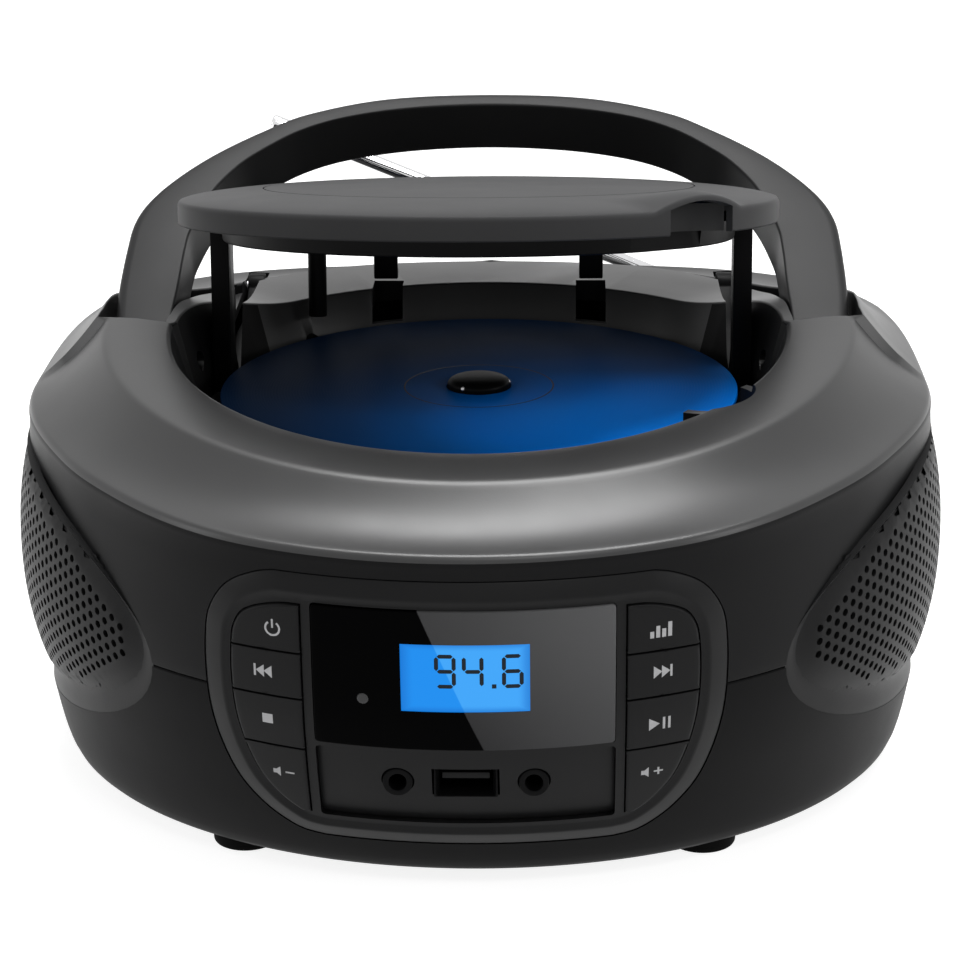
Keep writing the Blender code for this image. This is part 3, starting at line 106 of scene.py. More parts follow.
# Top ring: sloping circles as (radius, y of the middle, front height, climb), shoulder, handle channel
# and the holes cut through the housing
OPENING = (71.2, 2.0, 6.0, 0.127)
CREASE = (86.0, 1.0, 5.0, 0.135)
SHOULDER_R = 104.0
SHOULDER_Z = -4.0
SHOULDER_CLIMB = 0.05
SHOULDER_BEAD = 0.4
SHOULDER_DROP = 1.8
SHOULDER_ROUNDS = (1.1, 0.8)
SHOULDER_TUCK = 3.2
TUCK_START = 0.15
TUCK_TURNS = tuple(math.radians(a) for a in (24.0, 52.0, 62.0, 89.0))
BAND_SAG = 1.9
BAND_STEPS = 12
RING_CROWN = 0.5
RING_SHARES = ((0.0, 1.3), (0.2, 0.0), (0.45, 0.0), (0.75, 0.0), (1.0, 0.9))
RING_UNDER = 1.8
# Least upward part of a face's normal that gets the lighter copy of the plastic, painted light on the top
RING_FACE_RISE = 0.3
RING_END = math.radians(90.4)
RING_END_STEP = math.radians(0.6)
HUMP_END = math.radians(138.0)
HUMP_RISE = 1.0
REAR_EDGE_R = 70.2
REAR_EDGE_Z = 7.0
REAR_RIM = 1.4
CHANNEL_Z = -5.8
CHANNEL_CLIMB = 0.1405
CHANNEL_OUTER_ROOM = 1.9
CHANNEL_INNER_ROOM = 1.1
CHANNEL_DRAFT = 0.6
WELL_R = 64.5
WELL_Z = -9.0
NOTCH = (51.0, -37.5)
NOTCH_R = 10.5
NOTCH_TOP = 24.0
NOTCH_STEPS = 96
NOTCH_WALL_STEPS = 9
NOTCH_FLOOR = WELL_Z + 3.0
NOTCH_WALL_LOW = WELL_Z + 0.5
NOTCH_WALL_TOP = 8.5
NOTCH_WALL_OUT = 1.8
PIN_BORE_ENDS = (65.9, 82.4)
HOOK_SLOT = (3.8, 58.0, 72.0, -1.5)
TURRET_BORE_R = 5.4
TURRET_BORE = (-18.0, 6.0)
SPEAKER_BORE_R = 27.0
SPEAKER_BORE_ENDS = (85.0, 121.0)
BATTERY_HOLE = (-46.3, 46.3, 11.7, 62.3, 3.0)
INLET_HOLE = (-50.3, -29.7, 73.0, 121.0, -62.8, -49.2)

# Disc and hub: profiles as (radius, height, rounding), places as (radius, height), and the clamp ring
# as (radius, half width, low, high)
DISC_R = 60.0
DISC_HOLE_R = 7.5
DISC_THICK = 1.2
HUB_R = 7.3
HUB_PROFILE = (
    (0.0, 2.5, 0.0), (3.0, 2.45, 0.0), (5.4, 2.15, 0.0), (6.5, 1.8, 0.6), (HUB_R, 1.1, 0.5),
    (HUB_R, -0.1, 0.0), (HUB_R, -1.5, 0.0), (13.0, -1.5, 0.2), (13.0, -3.5, 0.2), (4.0, -3.5, 0.0),
    (4.0, -11.0, 0.0), (0.0, -11.0, 0.0),
)
CATCH_PROFILE = ((0.0, 0.65), (0.46, 0.46), (0.65, 0.0), (0.46, -0.46), (0.0, -0.65))
CATCH_PLACE = (6.8, 0.9)
CLAMP_RING = (17.3, 0.16, 0.01, 0.035)

# Handle: edges as (half width, reach behind the pivots, shares of both from pivot to middle)
HANDLE_Y = 11.0
HANDLE_Z = 3.0
HANDLE_TILT = math.radians(31.0)
HANDLE_THICK = 15.0
HANDLE_INNER = (73.4, 82.0, (
    (1.0, -0.044), (0.997, 0.098), (0.989, 0.22), (0.984, 0.366), (0.971, 0.463), (0.92, 0.61),
    (0.842, 0.727), (0.755, 0.807), (0.636, 0.888), (0.486, 0.946), (0.272, 0.985), (0.0, 1.0),
))
HANDLE_OUTER = (87.2, 87.2, (
    (0.989, -0.041), (0.995, 0.092), (1.0, 0.206), (0.995, 0.367), (0.984, 0.47), (0.947, 0.557),
    (0.876, 0.649), (0.78, 0.743), (0.654, 0.837), (0.528, 0.911), (0.298, 0.979), (0.0, 1.0),
))
PIN_R = 2.3
PIN_INNER = 68.6
PIN_OUTER = 80.0
PIN_ROOM = 0.15
HANDLE_BORE_ROOM = 0.1
HANDLE_BORE_ENDS = (65.9, 80.2)
HANDLE_INNER_ROUND = 0.8
HANDLE_OUTER_ROUND = 2.6

# Lid, in its own flat place before it is turned open about the hinge; scoops as (start, half width, low)
LID_Y = 90.0
LID_Z = 1.0
LID_OPEN = math.radians(18.2)
LID_SHUT_TILT = math.radians(9.2)
LID_R = 69.2
LID_SHUT = (1.4, 15.0)
LID_SKIRT = 4.8
LID_DOME = 4.0
LID_WALL = 1.8
LID_ROUND = 0.8
LID_RIM = 0.3
LID_CROWN_WALL = 3.2
SEAM_CIRCLE_R = 50.0
SEAM_CIRCLE_BACK = 4.0
GROOVE_STEPS = 180
GROOVE_SECTION = ((-0.16, 0.35), (0.16, 0.35), (0.2, -0.6), (-0.2, -0.6))
HOOD_TURN = math.radians(46.0)
HOOD_HALF = 14.0
HOOD_RISE = 3.0
HOOD_START_R = 49.0
HOOD_STEPS = 28
LID_STEPS = 30
SCOOP_HALF = 10.0
SCOOP_RISE = 2.4
SCOOP_SIDE_RISE = 0.7
SCOOP_STEPS = 16
SCOOP_PAST = 8.0
LID_SCOOP = (59.0, SCOOP_HALF, -7.8)
LINER_SCOOP = (58.0, 11.2, -12.8)
SCOOP_WALL_RS = (66.0, 64.8)
SCOOP_WALL_BOW = 5.6
SCOOP_WALL_TOP = 1.2
SCOOP_WALL_STEPS = 24
LINER_SEAT = 0.8
LINER_FLANGE = 2.0
LINER_FLANGE_R = 66.4
LINER_RING_RS = (60.0, 59.0, 56.5, 55.0)
LINER_HOLE_R = 16.0
LINER_PART_ROUND = 0.35
LINER_STEPS = 144
LINER_DROP = 6.0
ARM_X = 62.0
ARM_WIDE = 4.4
ARM_DIP = 25.0
ARM_ROOT = 11.0
ARM_ROOT_LONG = 9.0
ARM_LOWER = ((0.013, 0.48), (0.081, 0.16), (0.189, 0.0), (0.65, 0.32), (0.892, 0.52))
ARM_UPPER = ((0.838, 0.72), (0.623, 0.64), (0.229, 0.36), (0.135, 0.64))
HOOK_XS = (-25.5, 26.5)
HOOK_REACH = 61.4
HOOK_WIDE = 6.0
HOOK_THICK = 2.4
HOOK_LONG = 20.5
HOOK_BARB = 1.9
LOCK = (-42.0, 44.5)
LOCK_R = 2.3
LOCK_LONG = 29.0
CLAMP_R = 15.7
CLAMP_PROFILE = (
    (0.0, -1.1, 0.0), (CLAMP_R, -1.1, 0.2), (CLAMP_R, -5.8, 0.5), (12.0, -7.8, 0.5), (8.2, -7.8, 0.4),
    (8.2, -4.3, 0.0), (0.0, -4.3, 0.0),
)
HINGE_BOSS_R = 3.4
HINGE_BORE_R = 1.7
ARM_ROOM = 0.5
ARM_SLOT = (12.0, LID_Y + 5.0, SPLIT_Z - OVERRUN, 2.0 * OVERRUN)
CHEEK_ROOMS = (1.0, 5.2)
CHEEK = (LID_Y - 4.4, LID_Y + 4.6, LID_Z - 5.4, LID_Z + 2.1, 1.4)
LOCK_WELL = (3.4, (LOCK[0], 45.6, 10.0), (LOCK[0], 51.0, -15.0))

# Front panel: levels as (inset of the outline, distance out of the body)
PANEL_TOP = -9.0
PANEL_HIGH = 63.4
PANEL_HALF = 53.2
PANEL_SHARES = (
    (0.0, 0.714), (0.0142, 0.782), (0.049, 0.868), (0.098, 0.93), (0.177, 0.979), (0.268, 0.996),
    (0.386, 1.0), (0.52, 0.989), (0.653, 0.955), (0.79, 0.893), (0.891, 0.806), (0.954, 0.72),
    (0.987, 0.649), (1.0, 0.564),
)
PANEL_LEVELS = (
    (0.0, -2.6), (0.0, -0.5), (0.15, -0.15), (0.4, 0.0), (3.3, 0.95), (3.7, 1.05), (4.1, 0.93), (5.2, 0.41),
    (5.5, 0.35),
)
FIELD_ROOM = 0.15
FIELD_CORNER = 0.9
BUTTON_ROOM = 0.28
BUTTON_STEPS = 26
FIELD_TOP = -14.8
FIELD_HALF = 30.3
DISPLAY_HIGH = 30.7
JACK_FIELD_STEP = 1.3
JACK_FIELD_HIGH = 18.8
JACK_SINK = 1.2
JACK_DEEP = 4.4
JACK_X = 13.9
JACK_Z = -54.9
BUTTON_COLUMN_HIGH = 50.5
BUTTON_EDGE_SHARES = (0.01, 0.218, 0.418, 0.655, 1.0)
BUTTON_SLIT = 0.2
BUTTON_AISLE = 2.3
BUTTON_MARGIN = 5.8
BUTTON_CORNER = 4.4
BUTTON_PROUD = 1.15
BUTTON_LEVELS = (4.0, BUTTON_PROUD, 0.55)
LEFT_BUTTONS = ("power", "previous", "stop", "volume_down")
RIGHT_BUTTONS = ("mode", "next", "play", "volume_up")
LCD_HALF = 12.85
LCD_HALF_HIGH = 7.35
LCD_X = 0.45
LCD_Z = -29.1
LCD_HOLE = (LCD_X - LCD_HALF, LCD_X + LCD_HALF, LCD_Z - LCD_HALF_HIGH, LCD_Z + LCD_HALF_HIGH, 0.1, 2)
WINDOW_LEVELS = (1.6, 0.9, 0.3)
LCD_LEVELS = ((0.0, -2.5), (0.0, 0.55))
LCD_ROOM = 0.3
SENSOR_SPOT = (-20.1, -34.1)
SENSOR_LEVELS = ((1.15, 0.3), (1.15, 0.93), (1.0, 0.98), (0.5, 1.0))
# Slope and edge of the painted reflection on the display window and the number display
REFLECTION_SLANT = 0.42
REFLECTION_EDGE = (-0.0152, -0.0149)
PRINT_DEEP = 0.2
PRINT_PROUD = 0.04
ARC_STEPS = 40

# Numbers: segments of a digit (top, two upper, middle, two lower, bottom), and each digit's place
SEGMENTS = {"9": "abcdfg", "4": "bcfg", "6": "acdefg"}
SHOWN = (("9", -6.1), ("4", -0.6), ("6", 7.3))
NUMBERS_DROP = 2.1
DIGIT_WIDE = 4.3
DIGIT_HIGH = 7.3
SEGMENT_THICK = 0.82
SEGMENT_SLACK = 0.14
POINT = (5.3, 6.2, 0.9)

# Sockets: the round ones' profile as (radius, depth behind the face, rounding), and the USB socket as
# half width, half height, near and far depth
JACK_HOLE_R = 3.4
JACK_PROFILE = (
    (1.8, -1.0, 0.35), (3.1, -1.0, 0.4), (3.1, 14.0, 0.0), (0.0, 14.0, 0.0), (0.0, 12.5, 0.0),
    (1.8, 12.5, 0.0),
)
USB_HOLE = (6.9, 3.5)
USB_SHELL = (6.5, 3.3, -0.8, 13.0)
USB_MOUTH = (-6.3, 6.3, -3.1, 3.1, 0.3, 2)
USB_MOUTH_RINGS = ((-1.0, 1.0), (0.6, 0.88), (12.0, 0.88))
USB_TONGUE = (4.9, 0.8, 12.5, 0.1, 1.5)
USB_ROUND = 0.12
TONGUE_ROUND = 0.2

# Grilles: an oval on the body's side, and the oval of holes in it
GRILLE_TURN = math.radians(89.0)
GRILLE_TURN_HALF = math.radians(50.0)
GRILLE_Z = -36.0
GRILLE_HALF_HIGH = 29.0
GRILLE_BULGE = 2.9
BED_DEPTH = 1.9
BED_STEPS = 72
GRILLE_THICK = 0.9
HOLES_TURN_HALF = math.radians(47.6)
HOLES_Z = -33.3
HOLES_HALF_HIGH = 24.9
HOLE_PITCH = 2.95
HOLE_R = 0.86
HOLE_SIDES = 12
NET_END = 1.03
NET_SINK = 0.9
NET_REACH = 1.07
HOLES_REACH = 0.97
DOME_END = 0.93
DOME_POWER = 2.2
MARGIN_SHARES = (0.985, 1.004)
MARGIN_BACK = -1.9
MARGIN_START = -0.62
DISH_DEPTH = 0.55
DISH_RISE = 0.58
DISH_POWER = 1.6
DISH_STEPS = 8
OVAL_STEPS = 144

# Antenna
ANTENNA = (68.0, 105.8, -9.7)
ANTENNA_TILT = math.radians(22.3)
ANTENNA_RS = (2.15, 1.7, 1.25, 0.85)
ANTENNA_LONG = 118.0
ANTENNA_STEP = 4.0
TIP_R = 2.3
TURRET_R = 5.2
TURRET_PROFILE = ((0.0, -12.0, 0.0), (TURRET_R, -12.0, 0.3), (TURRET_R, -2.45, 0.8), (0.0, -2.45, 0.0))
BORE_ROOM = 0.12
BORE_END = 1.2
TIP_NECK = 1.0
TIP_LONG = 5.8

# Feet, as (radius, depth under the base, rounding), and where they stand
FOOT_PROFILE = (
    (0.0, 0.3, 0.0), (7.5, 0.3, 0.2), (7.5, 3.6, 0.9), (4.4, 3.6, 0.3), (4.0, 3.3, 0.2), (0.0, 3.3, 0.0),
)
FEET = ((-50.0, -62.0), (50.0, -62.0), (-62.0, 66.0), (62.0, 66.0))

# Camera: where it stands from the disc's middle, and how it aims
CAMERA_FAR = 600.0
CAMERA_RISE = math.radians(16.5)
CAMERA_TURN = math.radians(2.1)
CAMERA_DIP = math.radians(2.1)
CAMERA_ROLL = math.radians(-0.67)
CAMERA_LENS = 96.56
SENSOR_WIDE = 36.0
CAMERA_CLIP = (0.02, 50.0)

# Light: lamps as (name, place, aim, wide, high, watts), and the floor that shows as white
LAMPS = (
    ("top_box", (0.1, 0.16, 1.15), (0.0, 0.0, 0.08), 0.85, 0.5, 19.0),
    ("front_box", (0.4, -1.2, 1.5), (0.0, 0.0, 0.07), 0.5, 0.3, 4.0),
    ("right_box", (1.3, -0.5, 0.6), (0.0, 0.0, 0.06), 0.3, 0.5, 3.0),
    ("left_box", (-1.3, -0.3, 0.5), (0.0, 0.0, 0.06), 0.3, 0.5, 2.0),
)
FLOOR_HALF = 6.0
SKY_GLOW = 0.32

FIELD_LOW = FIELD_TOP - DISPLAY_HIGH
JACK_FIELD_TOP = FIELD_LOW - JACK_FIELD_STEP
JACK_FIELD_LOW = JACK_FIELD_TOP - JACK_FIELD_HIGH
BUTTON_IN = FIELD_HALF + BUTTON_AISLE
ORIGIN = (0.0, 0.0, 0.0)
PANEL_CUT = (-BODY_FRONT - OVERRUN, -BODY_FRONT + 45.0)
BED_SHARES = (0.3, 0.6, 0.85, 1.0)

disc_low, disc_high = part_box("compact_disc")
# Middle of the painted pool of light on the disc, as x and y off the disc's middle
DISC_LIGHT_POOL = (32.0, -26.0)
DISC_MIDDLE = Vector(((disc_low.x + disc_high.x) / 2.0, (disc_low.y + disc_high.y) / 2.0, disc_high.z))


def place(point):
    """Millimetres in the player's frame to metres in the world."""
    return DISC_MIDDLE + Vector(point) * MM


# Shader maths

class Value:
    """A socket of a shader tree that sums and products can be written with."""

    def __init__(self, tree, socket):
        self.tree, self.socket = tree, socket

    def _maths(self, operation, first, second=None):
        pair = {0: first} if second is None else {0: first, 1: second}
        return self.tree.node("ShaderNodeMath", {"operation": operation}, pair)

    def __add__(self, other):
        return self._maths("ADD", self, other)

    def __radd__(self, other):
        return self._maths("ADD", other, self)

    def __sub__(self, other):
        return self._maths("SUBTRACT", self, other)

    def __rsub__(self, other):
        return self._maths("SUBTRACT", other, self)

    def __mul__(self, other):
        return self._maths("MULTIPLY", self, other)

    def __rmul__(self, other):
        return self._maths("MULTIPLY", other, self)

    def __truediv__(self, other):
        return self._maths("DIVIDE", self, other)

    def maximum(self, other):
        return self._maths("MAXIMUM", self, other)

    def sine(self):
        return self._maths("SINE", self)

    def root(self):
        return self._maths("SQRT", self)

    def step(self, low, high):
        """0 at low, 1 at high, smooth between."""
        settings = {"interpolation_type": "SMOOTHSTEP"}
        sockets = {"Value": self, "From Min": low, "From Max": high}
        return self.tree.node("ShaderNodeMapRange", settings, sockets)


class Tree:
    """Nodes of one material or world."""

    def __init__(self, owner):
        owner.use_nodes = True
        self.nodes, self.links = owner.node_tree.nodes, owner.node_tree.links

    def node(self, kind, settings=None, sockets=None, out=0):
        """A new node with its settings set first and its sockets filled, as one of its outputs."""
        made = self.nodes.new(kind)
        for name, value in (settings or {}).items():
            if name == "stops":
                ramp = made.color_ramp
                while len(ramp.elements) < len(value):
                    ramp.elements.new(0.5)
                for element, (spot, colour) in zip(ramp.elements, value):
                    element.position, element.color = spot, (*colour, 1.0)
            else:
                setattr(made, name, value)
        self.fill(made, sockets or {})
        return Value(self, made.outputs[out])

    def fill(self, made, sockets):
        for name, value in sockets.items():
            socket = made.inputs[name]
            if isinstance(value, Value):
                self.links.new(value.socket, socket)
            else:
                if socket.type == "RGBA" and len(value) == 3:
                    value = (*value, 1.0)
                socket.default_value = value

    def own(self):
        """The object's own coordinates, in metres."""
        return self.node("ShaderNodeTexCoord", out=3)

    def from_disc(self, spot):
        """x, y and z from the disc's middle, in metres."""
        parts = (self.node("ShaderNodeSeparateXYZ", None, {0: spot}, out) for out in range(3))
        return [part - middle for part, middle in zip(parts, DISC_MIDDLE)]

    def noise(self, spot, scale, detail=2.0, rough=0.5):
        sockets = {"Vector": spot, "Scale": scale, "Detail": detail, "Roughness": rough}
        return self.node("ShaderNodeTexNoise", None, sockets)

    def mix(self, share, first, second):
        """Colours mixed by a share."""
        return self.node("ShaderNodeMix", {"data_type": "RGBA"}, {0: share, 6: first, 7: second}, 2)

    def bump(self, height, strength, distance):
        sockets = {"Height": height, "Strength": strength, "Distance": distance}
        return self.node("ShaderNodeBump", None, sockets)


def look(name, paint):
    """A material whose shader takes the sockets that paint(tree) gives."""
    made = bpy.data.materials.new(name)
    tree = Tree(made)
    shader = made.node_tree.nodes["Principled BSDF"]
    tree.fill(shader, paint(tree))
    return made


def moulded(colour, rough, level=0.35, grain=0.00003, spread=0.12):
    """Moulded plastic: slightly mottled colour, fine spark grain and handled patches of gloss."""
    def paint(tree):
        spot = tree.own()
        mottle = tree.noise(spot, 35.0, 3.0)
        fine = tree.noise(spot, 2600.0, 2.0, 0.6)
        darker = tuple(c * (1.0 - spread) for c in colour)
        lighter = tuple(c * (1.0 + spread) for c in colour)
        gloss = rough - 0.035 + 0.07 * tree.noise(spot, 90.0, 4.0)
        return {
            "Base Color": tree.mix(mottle, darker, lighter),
            "Roughness": gloss,
            "Specular IOR Level": level,
            "Normal": tree.bump(fine, 0.35, grain),
        }
    return paint


def metal(colour, rough, streak=0.04):
    """Bright metal with faint wipe marks."""
    def paint(tree):
        spot = tree.own()
        wipes = tree.noise(spot, 420.0, 4.0, 0.7)
        darker = tuple(c * 0.86 for c in colour)
        return {
            "Base Color": tree.mix(wipes, darker, colour),
            "Metallic": 1.0,
            "Roughness": rough + streak * wipes,
            "Normal": tree.bump(wipes, 0.08, 0.00002),
        }
    return paint


def disc_paint(tree):
    """Blue dyed disc with fine ring grooves; its colour is a painted pool of light, brightest round a spot in
    front and right where the lamp shines in under the lid, with painted shade further off.
    """
    spot = tree.own()
    x, y, _ = tree.from_disc(spot)
    rings = ((x * x + y * y).root() * 9000.0).sine()
    across, ahead = x - DISC_LIGHT_POOL[0] * MM, (y - DISC_LIGHT_POOL[1] * MM) * 1.15
    away = (across * across + ahead * ahead).root() + 0.006 * tree.noise(spot, 30.0, 2.0)
    # Painted light: bright blue round the spot, going to dark navy further off, which is painted shade
    # towards the rear under the lid
    blue = tree.node("ShaderNodeValToRGB", {"stops": (
        (0.0, (0.001, 0.24, 0.95)), (0.25, (0.001, 0.17, 0.7)), (0.5, (0.002, 0.09, 0.34)),
        (0.75, (0.003, 0.045, 0.16)), (1.0, (0.004, 0.02, 0.06)),
    )}, {"Fac": away.step(0.008, 0.09)})
    return {
        "Base Color": blue,
        "Roughness": 0.5 + 0.04 * rings,
        "Specular IOR Level": 0.01,
        "Normal": tree.bump(rings, 0.05, 0.00001),
    }


def past_reflection_edge(x, z):
    """1 right of the slanted edge of the painted reflection on the display window, 0 left of it."""
    return (x + REFLECTION_SLANT * z).step(*REFLECTION_EDGE)


def glass_paint(tree):
    """Glossy black display window with a slanted band of painted grey reflection."""
    spot = tree.own()
    x, _, z = tree.from_disc(spot)
    # Painted reflection: grey right of the slanted edge, lighter to the right and upwards, black left of it
    depth = x.step(-0.014, 0.04) * 0.6 + z.step(-0.05, -0.012) * 0.4
    painted_reflection = tree.mix(depth, (0.03, 0.03, 0.031), (0.14, 0.14, 0.143))
    return {
        "Base Color": tree.mix(past_reflection_edge(x, z), (0.0003, 0.0003, 0.0004), painted_reflection),
        "Roughness": 0.16 + 0.05 * tree.noise(spot, 60.0, 3.0),
        "Specular IOR Level": 0.012,
    }


def lit_paint(tree):
    """Backlit blue of the number display, darker towards its edge, and lighter right of the slanted edge,
    where the painted reflection of the window goes on over it.
    """
    spot = tree.own()
    x, _, z = tree.from_disc(spot)
    across = (x - LCD_X * MM) / (LCD_HALF * MM)
    up = (z - LCD_Z * MM) / (LCD_HALF_HIGH * MM)
    edge = (across * across).maximum(up * up).step(0.62, 1.0)
    # Painted reflection: the blue is lighter right of the slanted edge
    inner = tree.mix(past_reflection_edge(x, z), (0.008, 0.27, 0.87), (0.05, 0.38, 0.95))
    return {
        "Base Color": (0.0, 0.0, 0.0),
        "Roughness": 0.5 + 0.1 * tree.noise(spot, 300.0),
        "Specular IOR Level": 0.1,
        "Emission Color": tree.mix(edge * 0.6, inner, (0.004, 0.15, 0.6)),
        "Emission Strength": 1.0,
    }


def board_paint(tree):
    """Circuit board with plated tracks."""
    spot = tree.own()
    cells = {"Vector": spot, "Scale": 260.0}
    tracks = tree.node("ShaderNodeTexVoronoi", {"feature": "DISTANCE_TO_EDGE"}, cells)
    line = 1.0 - tracks.step(0.03, 0.07)
    return {
        "Base Color": tree.mix(line, (0.008, 0.07, 0.03), (0.04, 0.19, 0.08)),
        "Roughness": 0.35 + 0.2 * tree.noise(spot, 500.0),
        "Normal": tree.bump(line, 0.3, 0.00005),
    }


CHARCOAL = look("charcoal_plastic", moulded((0.0075, 0.0075, 0.0078), 0.4, 0.07))
# Lighter, glossier copy of the charcoal that the housing's upward faces get: painted light on its top
PAINTED_LIGHT_TOP = look("top_faces_painted_light", moulded((0.022, 0.022, 0.0224), 0.36, 0.42))
HANDLE_LOOK = look("handle_plastic", moulded((0.017, 0.017, 0.0174), 0.42, 0.1))
LID_LOOK = look("lid_plastic", moulded((0.04, 0.04, 0.041), 0.5, 0.06))
LOWER = look("lower_plastic", moulded((0.006, 0.006, 0.0062), 0.45, 0.04))
BLACK = look("black_plastic", moulded((0.003, 0.003, 0.0032), 0.42, 0.05))
PANEL = look("panel_plastic", moulded((0.009, 0.009, 0.0093), 0.38, 0.1))
BUTTON = look("button_plastic", moulded((0.0075, 0.0075, 0.0078), 0.38, 0.09))
GRILLE = look("grille_plastic", moulded((0.0105, 0.0105, 0.0108), 0.42, 0.07))
RUBBER = look("foot_rubber", moulded((0.004, 0.004, 0.004), 0.75, 0.06, 0.00006))
WINDOW = look("display_gloss", glass_paint)
LIT = look("lit_display", lit_paint)
DIGIT = look("display_digits", moulded((0.014, 0.02, 0.028), 0.5, 0.1))
PRINT = look("key_print", moulded((0.52, 0.52, 0.53), 0.55, 0.2, 0.00001, 0.04))
SENSOR = look("sensor_window", moulded((0.02, 0.02, 0.021), 0.3, 0.3))
DISC = look("disc_blue", disc_paint)
CHROME = look("chrome_metal", metal((0.8, 0.8, 0.81), 0.08))
STEEL = look("steel_metal", metal((0.46, 0.46, 0.47), 0.32, 0.1))
BOARD = look("circuit_board", board_paint)


# Mesh building

def linked(name, data):
    """A new object of the scene."""
    made = bpy.data.objects.new(name, data)
    bpy.context.scene.collection.objects.link(made)
    return made


def to_object(name, shape, paint, weld=True):
    """A closed mesh object in the world from points in millimetres."""
    points, faces = shape
    mesh = bpy.data.meshes.new(name)
    mesh.from_pydata([place(p) for p in points], [], faces)
    bm = bmesh.new()
    bm.from_mesh(mesh)
    if weld:
        bmesh.ops.remove_doubles(bm, verts=bm.verts, dist=WELD * MM)
    bmesh.ops.recalc_face_normals(bm, faces=bm.faces)
    bm.to_mesh(mesh)
    bm.free()
    if paint:
        mesh.materials.append(paint)
    return linked(name, mesh)


def settle(made):
    """Turns an object's modifiers into mesh."""
    graph = bpy.context.evaluated_depsgraph_get()
    mesh = bpy.data.meshes.new_from_object(made.evaluated_get(graph))
    made.modifiers.clear()
    made.data = mesh


def carve(made, shapes, operation="DIFFERENCE"):
    """Cuts shapes out of a piece, or joins them to it, all in one step."""
    group = bpy.data.collections.new("helpers")
    helpers = []
    for shape in shapes:
        helper = to_object("helper", shape, None)
        group.objects.link(helper)
        helpers.append(helper)
    change = made.modifiers.new("carve", "BOOLEAN")
    change.operation, change.solver = operation, "EXACT"
    change.operand_type, change.collection = "COLLECTION", group
    settle(made)
    for helper in helpers:
        bpy.data.objects.remove(helper, do_unlink=True)
    bpy.data.collections.remove(group)


def soften(made, width, segments):
    """Rounds a piece's sharp edges."""
    change = made.modifiers.new("soften", "BEVEL")
    change.width, change.segments = width * MM, segments
    change.limit_method, change.angle_limit = "ANGLE", SOFTEN_ANGLE
    change.harden_normals = False
    settle(made)


def finish_piece(made, body, *nodes):
    """Smooth shading, and the body that the piece rides on and the nodes that it stands for."""
    made.data.shade_smooth()
    made.data.set_sharp_from_angle(angle=SMOOTH_ANGLE)
    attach(made, body)
    if nodes:
        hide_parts(*nodes)
    return made


def piece(name, shape, paint, body, *nodes):
    return finish_piece(to_object(name, shape, paint), body, *nodes)


def joined(*shapes):
    """Several closed shapes as one."""
    points, faces = [], []
    for some_points, some_faces in shapes:
        start = len(points)
        points += some_points
        faces += [tuple(i + start for i in face) for face in some_faces]
    return points, faces


def loft(rings, closed=False):
    """A skin over equal rings, capped, or joined end to end."""
    count = len(rings[0])
    points = [p for ring in rings for p in ring]
    faces = []
    for i in range(len(rings) if closed else len(rings) - 1):
        low, high = i * count, (i + 1) % len(rings) * count
        for j in range(count):
            k = (j + 1) % count
            faces.append((low + j, low + k, high + k, high + j))
    if not closed:
        faces.append(tuple(reversed(range(count))))
        faces.append(tuple(range((len(rings) - 1) * count, len(rings) * count)))
    return points, faces


def circle(radius, steps):
    turns = (math.tau * i / steps for i in range(steps))
    return [(radius * math.cos(a), radius * math.sin(a)) for a in turns]


def eased(corners, closed=True, steps=ROUND_STEPS):
    """Points round a path of (u, v, rounding) corners; a corner with no rounding stays one point."""
    path = []
    count = len(corners)
    for i, (u, v, rounding) in enumerate(corners):
        if rounding <= 0.0 or (not closed and i in (0, count - 1)):
            path.append((u, v))
            continue
        here = Vector((u, v))
        ends = []
        for other in (corners[i - 1], corners[(i + 1) % count]):
            away = Vector(other[:2]) - here
            reach = min(rounding, away.length * 0.48)
            ends.append(here + away.normalized() * reach if away.length else here)
        for k in range(steps + 1):
            s = k / steps
            spot = ends[0] * (1.0 - s) ** 2 + here * 2.0 * s * (1.0 - s) + ends[1] * s * s
            path.append((spot.x, spot.y))
    return path


def turned(profile, steps=WIDE_STEPS, centre=ORIGIN, axis="Z"):
    """A closed (radius, place along) profile turned about an axis."""
    rings = []
    for across, up in circle(1.0, steps):
        ring = []
        for radius, along in profile:
            a, b = radius * across, radius * up
            spot = {"Z": (a, b, along), "X": (along, a, b), "Y": (a, along, b)}[axis]
            ring.append(tuple(c + s for c, s in zip(centre, spot)))
        rings.append(ring)
    return loft(rings, closed=True)


def rod(radius, start, end, steps=WIDE_STEPS):
    start, end = Vector(start), Vector(end)
    turn = (end - start).to_track_quat("Z", "Y").to_matrix()
    ring = [turn @ Vector((a, b, 0.0)) for a, b in circle(radius, steps)]
    return loft([[tuple(spot + p) for p in ring] for spot in (start, end)])


def slab(outline, low, high, axis="Z"):
    """A flat outline pushed along an axis."""
    rings = []
    for w in (low, high):
        spots = {
            "X": [(w, u, v) for u, v in outline],
            "Y": [(u, w, v) for u, v in outline],
            "Z": [(u, v, w) for u, v in outline],
        }
        rings.append(spots[axis])
    return loft(rings)


def box(x0, x1, y0, y1, z0, z1):
    return slab(((x0, y0), (x1, y0), (x1, y1), (x0, y1)), z0, z1)


def rounded(x0, x1, y0, y1, corner, steps=6):
    """Outline of a rectangle with round corners."""
    corners = ((x1, y1), (x0, y1), (x0, y0), (x1, y0))
    return eased([(x, y, corner) for x, y in corners], True, steps)


def swelled(outline, by):
    """The outline moved outwards by a distance."""
    area = sum(a[0] * b[1] - b[0] * a[1] for a, b in zip(outline, outline[1:] + outline[:1]))
    sign = 1.0 if area > 0 else -1.0
    moved = []
    for i, (u, v) in enumerate(outline):
        before, after = Vector(outline[i - 1]), Vector(outline[(i + 1) % len(outline)])
        along = (after - before).normalized()
        moved.append((u + sign * along.y * by, v - sign * along.x * by))
    return moved


